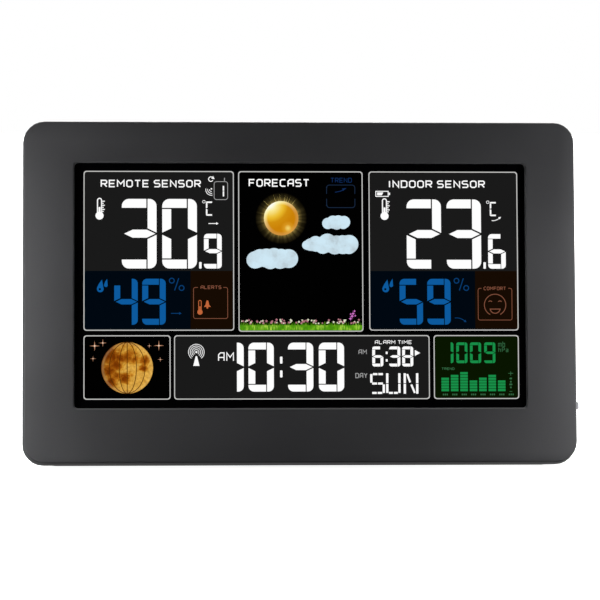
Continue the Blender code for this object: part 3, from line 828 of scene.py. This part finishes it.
def distance_from(tree, centre, size):
    """How far a point is from a centre in the piece's own millimetres, as a share of size."""
    ends = {0: object_place(tree), 1: (centre[0] * MM, centre[1] * MM, 0)}
    apart = add_node(tree, "VectorMath", ends, operation="DISTANCE")
    return computed(tree, "DIVIDE", apart.outputs["Value"], size * MM)


def computed(tree, operation, first, second):
    """Arithmetic on two values, each a number or another node's output."""
    return add_node(tree, "Math", {0: first, 1: second}, operation=operation).outputs[0]


def mixed(tree, factor, first, second, blend="MIX"):
    """Blends two colours, which other nodes give."""
    colours = {0: factor, 6: first, 7: second}
    return add_node(tree, "Mix", colours, data_type="RGBA", blend_type=blend).outputs[2]


def dome(bm, centre, radius, rise, low, rings=8, sides=48):
    """A shallow dome standing on the glass."""
    rows = []
    for ring in range(rings):
        angle = math.pi / 2 * ring / rings
        row = [
            bm.verts.new((u, v, low + rise * math.sin(angle)))
            for u, v in circle(centre, radius * math.cos(angle), sides)
        ]
        rows.append(row)
    for lower, upper in zip(rows, rows[1:]):
        for i in range(sides):
            j = (i + 1) % sides
            bm.faces.new((lower[i], lower[j], upper[j], upper[i]))
    top = bm.verts.new((*centre, low + rise))
    for i in range(sides):
        bm.faces.new((rows[-1][i], rows[-1][(i + 1) % sides], top))
    bm.faces.new(rows[0][::-1])


SUN_CENTRE, SUN_RADIUS, SUN_GLOW = (-7.1, 25.0), 6.4, 9.6
MOON_CENTRE, MOON_RADIUS = (-64.05, -30.4), 9.5


def sun_colour(tree):
    """Pale gold at the upper left, deep orange below, a bright rim and a glint at the lower right."""
    u, v = SUN_CENTRE
    far = distance_from(tree, (u - 4.2, v + 5.2), 12.0)
    body = ramp(tree, far, [
        (0.08, srgb(254, 252, 226)), (0.22, srgb(250, 232, 142)), (0.37, srgb(240, 200, 70)),
        (0.45, srgb(232, 182, 40)), (0.57, srgb(210, 144, 15)), (0.78, srgb(203, 130, 8)),
    ])
    glint = distance_from(tree, (u + 2.5, v - 3.7), 2.7)
    glow = ramp(tree, glint, [(0.0, srgb(252, 220, 120)), (0.5, srgb(140, 100, 30)), (1.0, (0, 0, 0))])
    shade = mixed(tree, 0.9, body, glow, "SCREEN")
    edge = distance_from(tree, SUN_CENTRE, SUN_RADIUS)
    rim = ramp(tree, edge, [(0.78, (0, 0, 0)), (0.88, srgb(215, 200, 140)), (1.0, srgb(250, 240, 190))])
    lit_side = ramp(tree, far, [(0.3, (1, 1, 1)), (0.85, (0.12, 0.12, 0.12))])
    return mixed(tree, 0.9, shade, mixed(tree, 1.0, rim, lit_side, "MULTIPLY"), "SCREEN")


def glow_colour(tree):
    """The sun's halo: orange next to the disc, fading to black in uneven rays."""
    far = distance_from(tree, SUN_CENTRE, SUN_GLOW)
    halo = ramp(tree, far, [
        (0.64, srgb(140, 120, 58)), (0.74, srgb(84, 72, 36)),
        (0.82, srgb(46, 40, 20)), (1.0, srgb(1, 1, 1)),
    ])
    ends = {0: object_place(tree), 1: (SUN_CENTRE[0] * MM, SUN_CENTRE[1] * MM, 0)}
    outward = add_node(tree, "VectorMath", ends, operation="SUBTRACT").outputs[0]
    unit = add_node(tree, "VectorMath", {0: outward}, operation="NORMALIZE").outputs[0]
    rays = add_node(tree, "TexNoise", {"Scale": 9.0, "Detail": 1.0, "Vector": unit})
    uneven = ramp(tree, rays.outputs["Fac"], [(0.35, (0.5, 0.5, 0.5)), (0.65, (1.3, 1.3, 1.3))])
    return mixed(tree, 1.0, halo, uneven, "MULTIPLY")


def within(tree, centre, size):
    """A soft spot: 1 at its centre, fading to 0 at its edge."""
    limits = {"From Min": 0.2, "From Max": 1.1, "To Min": 1.0, "To Max": 0.0}
    limits["Value"] = distance_from(tree, centre, size)
    return add_node(tree, "MapRange", limits).outputs["Result"]


# The moon's dark plains: their middles and sizes as shares of its radius
MOON_PLAINS = (
    (-0.62, 0.46, 0.42), (-0.30, 0.42, 0.36), (0.02, 0.42, 0.34), (0.28, 0.30, 0.22), (0.66, 0.27, 0.24),
    (-0.44, 0.12, 0.36), (-0.68, -0.16, 0.38), (-0.42, -0.30, 0.28), (-0.13, -0.42, 0.26),
    (-0.60, -0.50, 0.26), (0.62, -0.03, 0.18),
)


def moon_colour(tree):
    """Golden uplands, rust-brown plains and a pale rim."""
    u, v = MOON_CENTRE
    plains = 0.0
    for across, upward, size in MOON_PLAINS:
        middle_of_plain = (u + across * MOON_RADIUS, v + upward * MOON_RADIUS)
        plains = computed(tree, "MAXIMUM", plains, within(tree, middle_of_plain, size * MOON_RADIUS))
    broad = texture(tree, "Noise", 260.0, Detail=7.0, Roughness=0.7, Distortion=0.6)
    fine = texture(tree, "Noise", 900.0, Detail=5.0, Roughness=0.7)
    rough = computed(tree, "MULTIPLY", computed(tree, "SUBTRACT", broad, 0.5), 2.6)
    level = computed(tree, "ADD", plains, rough)
    ground = ramp(tree, level, [
        (0.0, srgb(222, 172, 76)), (0.25, srgb(204, 148, 50)), (0.5, srgb(176, 108, 24)),
        (0.8, srgb(146, 78, 10)), (1.0, srgb(124, 58, 4)),
    ])
    speckle = ramp(tree, fine, [(0.3, (0.62, 0.56, 0.48)), (0.7, (1.2, 1.18, 1.12))])
    shaded = mixed(tree, 1.0, ground, speckle, "MULTIPLY")
    across = distance_from(tree, (u + 0.28 * MOON_RADIUS, v - 0.05 * MOON_RADIUS), 1.28 * MOON_RADIUS)
    limb = ramp(tree, across, [
        (0.2, (1.04, 1.04, 1.04)), (0.62, (1, 1, 1)), (0.84, (0.78, 0.68, 0.62)), (1.0, (0.3, 0.18, 0.14)),
    ])
    edge = distance_from(tree, MOON_CENTRE, MOON_RADIUS)
    rim = ramp(tree, edge, [(0.88, (0, 0, 0)), (0.95, srgb(112, 92, 62)), (1.0, srgb(40, 32, 22))])
    return mixed(tree, 0.8, mixed(tree, 1.0, shaded, limb, "MULTIPLY"), rim, "SCREEN")


def cloud_colour(tree):
    """Pale blue, with greyer wisps."""
    puffs = texture(tree, "Noise", 190.0, Detail=5.0, Roughness=0.6)
    return ramp(tree, puffs, [
        (0.3, srgb(178, 192, 200)), (0.45, srgb(198, 220, 231)), (0.6, srgb(206, 232, 245)),
    ])


def grass_colour(tree):
    """Fresh green, yellower in patches."""
    patches = texture(tree, "Noise", 420.0, Detail=4.0)
    return ramp(tree, patches, [
        (0.34, srgb(66, 138, 8)), (0.5, srgb(102, 172, 22)), (0.68, srgb(166, 212, 70)),
    ])


def cloud_outline(centre, lobes, steps=120):
    """The outline around overlapping round lobes, each given by its middle and radius from the centre."""
    outline = []
    for step in range(steps):
        angle = 2 * math.pi * step / steps
        ray = Vector((math.cos(angle), math.sin(angle)))
        reach = 0.0
        for u, v, radius in lobes:
            along = ray.dot(Vector((u, v)))
            inside = radius ** 2 - (u * u + v * v - along ** 2)
            if inside > 0:
                reach = max(reach, along + math.sqrt(inside))
        outline.append((centre[0] + ray.x * reach, centre[1] + ray.y * reach))
    return outline


def add_star(bm, centre, size, span, tips=4, waist=0.12, turn=0.0):
    """A star: a thin sparkle of four tips, unless told otherwise."""
    outline = []
    for k in range(2 * tips):
        reach = size if k % 2 == 0 else size * waist
        angle = math.pi / tips * k + turn
        outline.append((centre[0] + reach * math.cos(angle), centre[1] + reach * math.sin(angle)))
    add_plate(bm, outline, span)


def build_forecast_cell():
    cell_ground("forecast", BLACK_GROUND)
    cloud = emissive("display_cloud", cloud_colour)
    clouds = (
        ("forecast_cloud_left", (-10.4, 9.9), (
            (-6.4, -0.4, 3.2), (-4.6, 0.3, 3.3), (-2.2, 0.3, 3.5), (0.6, 0.4, 3.6), (-0.8, -0.5, 3.3),
            (3.2, 0.3, 3.4), (2.8, -0.3, 3.4), (6.0, 0.1, 3.5),
        )),
        ("forecast_cloud_large", (10.9, 15.3), (
            (-8.6, -0.3, 1.7), (-7.2, -0.1, 2.3), (-5.2, 0.2, 2.9), (-0.9, 0.5, 3.5), (-2.6, -0.5, 3.0),
            (2.6, 0.1, 3.2), (1.8, -0.5, 3.2), (4.8, -0.1, 3.5), (7.2, 0.1, 3.4), (7.0, -0.7, 2.9),
        )),
        ("forecast_cloud_small", (13.3, 23.4), (
            (-3.1, -0.3, 2.1), (-1.2, 0.2, 2.4), (0.8, 0.3, 2.4),
            (0.2, -0.5, 2.1), (2.9, 0.2, 2.3), (2.6, -0.4, 2.0),
        )),
    )
    for name, centre, lobes in clouds:
        outline = cloud_outline(centre, lobes)
        art(name, cloud, lambda bm, outline=outline: add_plate(bm, outline, (0.05, 0.1)))
    art("forecast_sun_glow", emissive("display_sun_glow", glow_colour),
        lambda bm: add_disc(bm, SUN_CENTRE, SUN_GLOW, 64, (0.045, 0.055)))
    art("forecast_sun", emissive("display_sun", sun_colour),
        lambda bm: dome(bm, SUN_CENTRE, SUN_RADIUS, 0.25, 0.06), smooth=True)

    chance = random.Random(11)

    def rays(count, start, end, shortest, longest):
        """Fine rays between two angles, out of the sun's edge."""
        centre = Vector(SUN_CENTRE)

        def draw(bm):
            for ray in range(count):
                angle = math.radians(start + (end - start) * (ray + chance.uniform(0.1, 0.9)) / count)
                out = Vector((math.cos(angle), math.sin(angle)))
                side = Vector((-out.y, out.x)) * 0.06
                root = centre + out * SUN_RADIUS * 0.97
                tip = centre + out * SUN_RADIUS * chance.uniform(shortest, longest)
                add_plate(bm, [root - side, tip, root + side], (0.058, 0.062))
        return draw

    bright = ink("sun_bright_rays", 206, 184, 104)
    faint = ink("sun_faint_rays", 90, 78, 38)
    art("forecast_sun_bright_rays", bright, rays(9, 48, 136, 1.18, 1.5))
    art("forecast_sun_faint_rays", faint, rays(40, 132, 412, 1.08, 1.22))

    def draw_trend(bm):
        add_word(bm, "TREND", (11.3, 19.2), (38.3, 40.1), 0.24)
        add_line(bm, [(12.9, 34.7), (14.9, 35.1), (16.9, 36.1)], 0.26)
        add_plate(bm, [(15.9, 35.2), (17.2, 36.3), (15.6, 36.1)], OVER)

    def draw_trend_box(bm):
        for way in (1, -1):
            near, far = (33.2 + way * 0.9, 33.2 + way * 4.2)
            points = [(9.8, near), (9.8, far - way)] + arc((10.8, far - way), 1.0, 180, 180 - way * 90, 4)
            points += arc((19.3, far - way), 1.0, way * 90, 0, 4) + [(20.3, near)]
            add_line(bm, points, 0.28)

    art("forecast_title", WHITE_INK,
        lambda bm: add_word(bm, "FORECAST", (-19.1, 3.4), (36.7, 39.6), 0.46))
    art("forecast_trend", TREND_INK, draw_trend)
    art("forecast_trend_box", TREND_LINE, draw_trend_box)
    build_meadow()


def build_meadow():
    """A strip of grass with small flowers along the foot of the forecast cell."""
    chance = random.Random(23)
    left, right = inset(CELLS["forecast"][0], FRAME_LINE + 0.1)
    foot = CELLS["forecast"][1][0] + FRAME_LINE + 0.1

    def draw_blades(bm):
        for blade in range(240):
            u = chance.uniform(left + 0.15, right - 0.35)
            rise = chance.uniform(2.1, 3.5)
            lean = chance.uniform(-0.5, 0.5)
            lean = max(left - u, min(right - u - 0.2, lean))
            low = 0.062 + 0.0002 * blade
            blade_outline = [(u, foot + 0.1), (u + 0.24, foot + 0.1), (u + lean + 0.1, foot + rise)]
            add_plate(bm, blade_outline, (low, low + 0.01))

    def flowers(count, size, band):
        def draw(bm):
            for _ in range(count):
                u = chance.uniform(*band)
                v = foot + chance.uniform(2.6, 4.1)
                radius = size * chance.uniform(0.75, 1.2)
                add_star(bm, (u, v), radius, (0.11, 0.13), tips=5, waist=0.55, turn=0.3)
        return draw

    grass = emissive("display_grass", grass_colour)
    art("meadow_ground", grass, lambda bm: add_block(bm, (left, right), (foot, foot + 1.9), BAND))
    art("meadow_blades", grass, draw_blades)
    art("meadow_dark_blades", ink("grass_dark", 70, 136, 20), draw_blades)
    whole = (left + 0.6, right - 0.8)
    for name, colour, count, size in (
        ("pink", (178, 118, 128), 42, 0.5),
        ("white", (222, 222, 196), 38, 0.42),
    ):
        bloom = ink(f"flower_{name}", *colour)
        art(f"meadow_{name}_flowers", bloom, flowers(count, size, whole))

    def draw_violet(bm):
        """A tall flower head that leans to the right."""
        heads = (
            (18.4, -12.3, 0.8), (19.0, -11.4, 0.85), (19.4, -10.4, 0.75),
            (19.9, -9.5, 0.6), (18.5, -10.6, 0.5), (20.2, -11.2, 0.5),
        )
        for u, v, size in heads:
            add_star(bm, (u, v), size * 1.2, (0.13, 0.14))
            add_disc(bm, (u, v), size * 0.5, 10, (0.11, 0.129))

    art("meadow_violet_flower", ink("flower_violet", 204, 112, 196), draw_violet)


def build_moon_cell():
    cell_ground("moon", BLACK_GROUND)
    art("moon_disc", emissive("display_moon", moon_colour),
        lambda bm: dome(bm, MOON_CENTRE, MOON_RADIUS, 0.3, 0.05, rings=10, sides=64), smooth=True)

    def draw_meridians(bm):
        """The thin gaps between the crescents that show the moon's phase."""
        u, v = MOON_CENTRE
        reach = MOON_RADIUS - 0.1
        for share in (-0.70, -0.31, 0.0, 0.36, 0.70):
            points = []
            for step in range(25):
                height = math.pi * (step / 24 - 0.5)
                points.append((u + reach * share * math.cos(height), v + reach * math.sin(height)))
            add_line(bm, points, 0.26, (0.352, 0.36))

    art("moon_phase_gaps", ink("moon_gap", 80, 44, 6), draw_meridians)

    stars = (
        (-76.0, -22.3, 1.9), (-73.0, -21.2, 1.5), (-76.6, -27.0, 1.1),
        (-52.4, -22.2, 1.9), (-55.9, -22.3, 0.9), (-51.9, -27.3, 1.0),
    )

    def draw_stars(bm):
        for u, v, size in stars:
            add_star(bm, (u, v), size, (0.05, 0.08))

    def draw_star_cores(bm):
        for u, v, size in stars:
            add_disc(bm, (u, v), size * 0.17, 12, (0.08, 0.1))

    art("moon_stars", AMBER_INK, draw_stars)
    art("moon_star_cores", STAR_INK, draw_star_cores)


# ---------------------------------------------------------------- case

def extents(node, direction):
    along = [vertex.co.dot(direction) for vertex in NODES[node].data.vertices]
    return min(along), max(along)


def face_of(node, outward):
    """The middle of a node's flat face on the side that looks outward."""
    origin = Vector((0, 0, 0))
    for direction in (RIGHT, UP):
        origin += direction * sum(extents(node, direction)) / 2
    return origin + outward * extents(node, outward)[1]


FACE = plane_at(face_of("front_bezel", FRONT))
FROM_BEHIND = Matrix((-RIGHT, UP, -FRONT)).transposed().to_4x4()
REAR = Matrix.Translation(face_of("rear_cover", -FRONT)) @ FROM_BEHIND


def polariser_film():
    """The anti-glare face of the display: almost black, with a faint soft gloss."""
    mat, tree, shader = new_material("anti_glare_film", (0.0003, 0.0003, 0.0004), 0.32, specular=0.015)
    haze = texture(tree, "Noise", 5200.0, Detail=2.0)
    set_inputs(tree, shader, {"Roughness": spread(tree, haze, 0.26, 0.38)})
    bump(tree, shader, haze, 0.08, 0.00001)
    return mat


def printed_sleeve():
    """A battery's dark blue printed sleeve, paler where it is worn."""
    mat, tree, shader = new_material("cell_sleeve", (0.02, 0.05, 0.16), 0.3, metallic=0.4)
    wear = texture(tree, "Noise", 320.0, Detail=5.0)
    shade = ramp(tree, wear, [(0.4, (0.015, 0.04, 0.14)), (0.62, (0.03, 0.08, 0.22))])
    set_inputs(tree, shader, {"Base Color": shade})
    return mat


def sheet_material(name, colour, roughness, transmission=0.0):
    """A thin sheet of the display, with a sheen that varies in fine dots."""
    mat, tree, shader = new_material(name, colour, roughness)
    sheen = spread(tree, texture(tree, "Voronoi", 900.0), roughness, roughness + 0.2)
    set_inputs(tree, shader, {"Transmission Weight": transmission, "Roughness": sheen})
    return mat


CASE_BLACK = (0.0185, 0.0185, 0.0195)
SLOT_MATERIALS = {
    "case_plastic": moulded("case_abs", CASE_BLACK, 0.42, depth=0.0001, variation=0.06),
    "key_plastic": moulded("key_abs", (0.03, 0.03, 0.032), 0.34, grain=1800.0, depth=0.00002),
    "display_glass": sheet_material("display_glass", (0.004, 0.004, 0.005), 0.05),
    "display_polariser": polariser_film(),
    "display_film": sheet_material("colour_print", (0.2, 0.25, 0.5), 0.3),
    "diffuser": sheet_material("diffuser", (0.82, 0.84, 0.84), 0.5),
    "light_guide": sheet_material("light_guide", (0.8, 0.85, 0.88), 0.08, transmission=0.6),
    "reflector": sheet_material("reflector", (0.8, 0.81, 0.83), 0.2),
    "frame_plastic": moulded("frame_abs", (0.7, 0.7, 0.67), 0.5, variation=0.05),
    "zebra_rubber": rubber("zebra_rubber", (0.05, 0.04, 0.1)),
    "board": circuit("circuit_board"),
    "component": moulded("component_epoxy", (0.014, 0.014, 0.015), 0.4, grain=1500.0),
    "sensor_plastic": moulded("sensor_plastic", (0.75, 0.75, 0.72), 0.5, variation=0.05),
    "plated_steel": metal("plated_steel", (0.62, 0.62, 0.6), 0.32),
    "copper": metal("copper_winding", (0.62, 0.3, 0.15), 0.35),
    "cell_jacket": printed_sleeve(),
    "rubber": rubber("foot_rubber", (0.012, 0.012, 0.012)),
}

KNOB_GREY = moulded("knob_abs", (0.16, 0.16, 0.17), 0.4, grain=1800.0, depth=0.00002, variation=0.05)
NODE_MATERIALS = {"slide_knob": KNOB_GREY}
WELD_REACH = 0.002 * MM
CREASE_ANGLE = math.radians(32)


def dress_nodes():
    """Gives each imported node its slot's material and smooth shading on its round faces."""
    for row in frame["record"]["subparts"]:
        obj = NODES[row["node"]]
        obj.data.materials.clear()
        own = NODE_MATERIALS.get(row["node"])
        obj.data.materials.append(own or SLOT_MATERIALS[row["material_slot"]])
        weld = obj.modifiers.new("weld", "WELD")
        weld.merge_threshold = WELD_REACH
        split = obj.modifiers.new("crease", "EDGE_SPLIT")
        split.split_angle = CREASE_ANGLE
        obj.data.shade_smooth()


REAR_PRINT = moulded("rear_print", (0.32, 0.32, 0.33), 0.5, variation=0.1)


def rear_place(node):
    """A node's middle in millimetres on the rear plane, seen from behind."""
    spot = REAR.inverted() @ middle(node)
    return spot.x / MM, spot.y / MM


def build_rear_marks():
    """Small printed signs beside the keys and on the battery door."""
    height = (0.02, 0.1)  # out of the case

    def mark(name, draw, body="case", matrix=REAR):
        bm = bmesh.new()
        draw(bm)
        piece(name, bm, REAR_PRINT, body=body, slot="key_plastic", matrix=matrix)

    def blocks(bm, u, v, *sides):
        """Rectangles round the middle of a sign, each by its left, right, low and high side."""
        for left, right, low, high in sides:
            add_block(bm, (u + left, u + right), (v + low, v + high), height)

    def beside(number):
        u, v = rear_place(f"key_{number}")
        return u + 11.5, v

    def draw_key_marks(bm):
        u, v = beside(6)  # clock face
        add_line(bm, circle((u, v), 1.7, 24), 0.35, height, closed=True)
        add_line(bm, [(u, v + 1.1), (u, v), (u + 0.8, v)], 0.3, height)
        u, v = beside(5)  # bell
        bell = [(u - 1.5, v - 1.1), (u - 0.9, v - 0.3)] + arc((u, v + 0.7), 0.9, 180, 0, 8)
        bell += [(u + 0.9, v - 0.3), (u + 1.5, v - 1.1)]
        add_plate(bm, bell, height)
        add_disc(bm, (u, v - 1.55), 0.35, 12, height)
        u, v = beside(4)  # plus
        bar = (-1.5, 1.5, -0.22, 0.22)
        blocks(bm, u, v, bar, (-0.22, 0.22, 0.26, 1.5), (-0.22, 0.22, -1.5, -0.26))
        blocks(bm, *beside(3), bar)  # minus
        u, v = beside(2)  # waves, for the sensor channel
        for radius in (0.7, 1.5, 2.3):
            add_line(bm, arc((u - 1.4, v), radius, -40, 40, 8), 0.35, height)
        u, v = beside(1)  # bars, for the pressure record
        for step, rise in enumerate((1.2, 2.2, 3.0)):
            left = u - 1.6 + 1.2 * step
            add_block(bm, (left, left + 0.7), (v - 1.5, v - 1.5 + rise), height)

    mark("key_marks", draw_key_marks)
    u, v = rear_place("battery_door")

    def draw_door_marks(bm):
        add_line(bm, rectangle((u - 6, u + 5), (v - 9, v - 5)), 0.35, height, closed=True)
        blocks(
            bm, u, v, (5.4, 6.2, -7.9, -6.1), (-4.6, -2.8, -7.2, -6.8), (2.0, 3.8, -7.2, -6.8),
            (2.7, 3.1, -6.75, -6.1), (2.7, 3.1, -7.9, -7.25),
        )
        add_plate(bm, [(u - 1.6, v + 5.0), (u + 1.6, v + 5.0), (u, v + 2.6)], height)

    mark("battery_door_marks", draw_door_marks, body="door")


# ---------------------------------------------------------------- studio

CAMERA_TILT, CAMERA_TURN = math.radians(-4.43), math.radians(3.37)
CAMERA_DISTANCE = 1.2008
CAMERA_SHIFT = (0.00035, 0.00309)
CAMERA_LENS = 195.2


def build_camera():
    camera = add_object("camera", bpy.data.cameras.new("camera"))
    camera.data.lens = CAMERA_LENS
    camera.data.sensor_width = 36.0
    camera.data.clip_start = 0.01
    turn = Matrix.Rotation(CAMERA_TURN, 4, "Y") @ Matrix.Rotation(CAMERA_TILT, 4, "X")
    seen = Matrix.Translation((*CAMERA_SHIFT, -CAMERA_DISTANCE)) @ turn
    camera.matrix_world = FACE @ seen.inverted()
    bpy.context.scene.camera = camera


# The strips, from the middle of the bezel's face, in metres
STRIP_SIZE = (0.05, 0.28)
STRIP_OUT, STRIP_FORWARD = 0.2, 0.07
STRIP_AIM_OUT = 0.09
# The dark cards beside the case, in the same way
CARD_OUT = (0.1034, 0.22)
CARD_V = (-0.2, 0.14)
CARD_BEHIND_FACE = 0.001
FLOOR_GLOW = 0.94


def area_light(name, place, target, size, power):
    """A soft rectangular light, at a place in world metres and aimed at a point."""
    data = bpy.data.lights.new(name, "AREA")
    data.shape = "RECTANGLE"
    data.size, data.size_y = size
    data.energy = power
    obj = add_object(name, data)
    obj.location = place
    obj.rotation_euler = (Vector(place) - Vector(target)).to_track_quat("Z", "Y").to_euler()
    obj.visible_camera = False
    return obj


def build_lights():
    """Two strips beside the ends of the front, a weak fill, and large soft lights above and behind.

    The strips leave no glossy reflection, which would turn the black bezel white when seen from its side.
    """
    for name, way, height, power in (("left_strip", -1, -0.069, 1.6), ("right_strip", 1, -0.08, 1.68)):
        place = FACE @ Vector((way * STRIP_OUT, height, STRIP_FORWARD))
        target = FACE @ Vector((way * STRIP_AIM_OUT, height, 0.0))
        strip = area_light(name, place, target, STRIP_SIZE, power)
        strip.visible_glossy = False
    area_light("front_fill", (0.0, -1.4, 0.2), (0, 0, 0.05), (1.6, 0.5), 0.06)
    area_light("top_soft", (0.0, 0.35, 1.2), (0, 0, 0.05), (1.2, 0.7), 9.0)
    area_light("back_soft", (-0.35, 1.45, 0.9), (0, 0, 0.06), (1.2, 1.0), 36.0)
    area_light("back_fill", (0.9, 1.0, 0.4), (0, 0, 0.06), (0.9, 0.9), 16.0)


def add_stage(name, mesh, mat, hidden_from):
    """Adds a floor or card that isn't part of the object, and hides it from some kinds of ray."""
    mesh.materials.append(mat)
    obj = add_object(name, mesh)
    for ray in hidden_from:
        setattr(obj, f"visible_{ray}", False)


def build_flags():
    """Dark cards, unseen by the camera, that keep the strips off the side walls."""
    for name, way in (("left_flag", -1), ("right_flag", 1)):
        outline = rectangle(sorted(way * out for out in CARD_OUT), CARD_V)
        corners = [FACE @ Vector((u, v, -CARD_BEHIND_FACE)) for u, v in outline]
        mesh = bpy.data.meshes.new(name)
        mesh.from_pydata(corners, [], [(0, 1, 2, 3)])
        card = new_material(name, (0.01, 0.01, 0.01), 0.9)[0]
        add_stage(name, mesh, card, ("camera", "diffuse", "glossy", "transmission"))


def build_world():
    """A white room to the eye, and a dimmer one, darkest in front, in reflections."""
    world = bpy.data.worlds.new("studio")
    world.use_nodes = True
    tree = world.node_tree
    place = add_node(tree, "TexCoord").outputs["Generated"]
    depth = add_node(tree, "SeparateXYZ", {0: place}).outputs["Y"]
    limits = {"From Min": 0.0, "From Max": 0.8, "To Min": 0.001, "To Max": 0.35, "Value": depth}
    level = add_node(tree, "MapRange", limits).outputs["Result"]
    seen = add_node(tree, "LightPath").outputs["Is Camera Ray"]
    choice = add_node(tree, "Mix", {"B": 1.0, "Factor": seen, "A": level}).outputs["Result"]
    set_inputs(tree, tree.nodes["Background"], {"Color": (1, 1, 1, 1), "Strength": choice})
    bpy.context.scene.world = world


def build_floor():
    bm = bmesh.new()
    bmesh.ops.create_grid(bm, x_segments=1, y_segments=1, size=1.5)
    mesh = bpy.data.meshes.new("floor")
    bm.to_mesh(mesh)
    bm.free()
    mat, tree, shader = new_material("floor", (0.85, 0.85, 0.85), 0.9, specular=0.0)
    set_inputs(tree, shader, {"Emission Color": (1, 1, 1, 1), "Emission Strength": FLOOR_GLOW})
    add_stage("floor", mesh, mat, ("diffuse", "glossy"))


bpy.context.scene.view_settings.view_transform = "Standard"
dress_nodes()
art("cell_frames", SILVER_INK, draw_frames)
build_remote_cell()
build_indoor_cell()
build_forecast_cell()
build_moon_cell()
build_clock_cell()
build_pressure_cell()
build_rear_marks()
build_camera()
build_lights()
build_flags()
build_world()
build_floor()
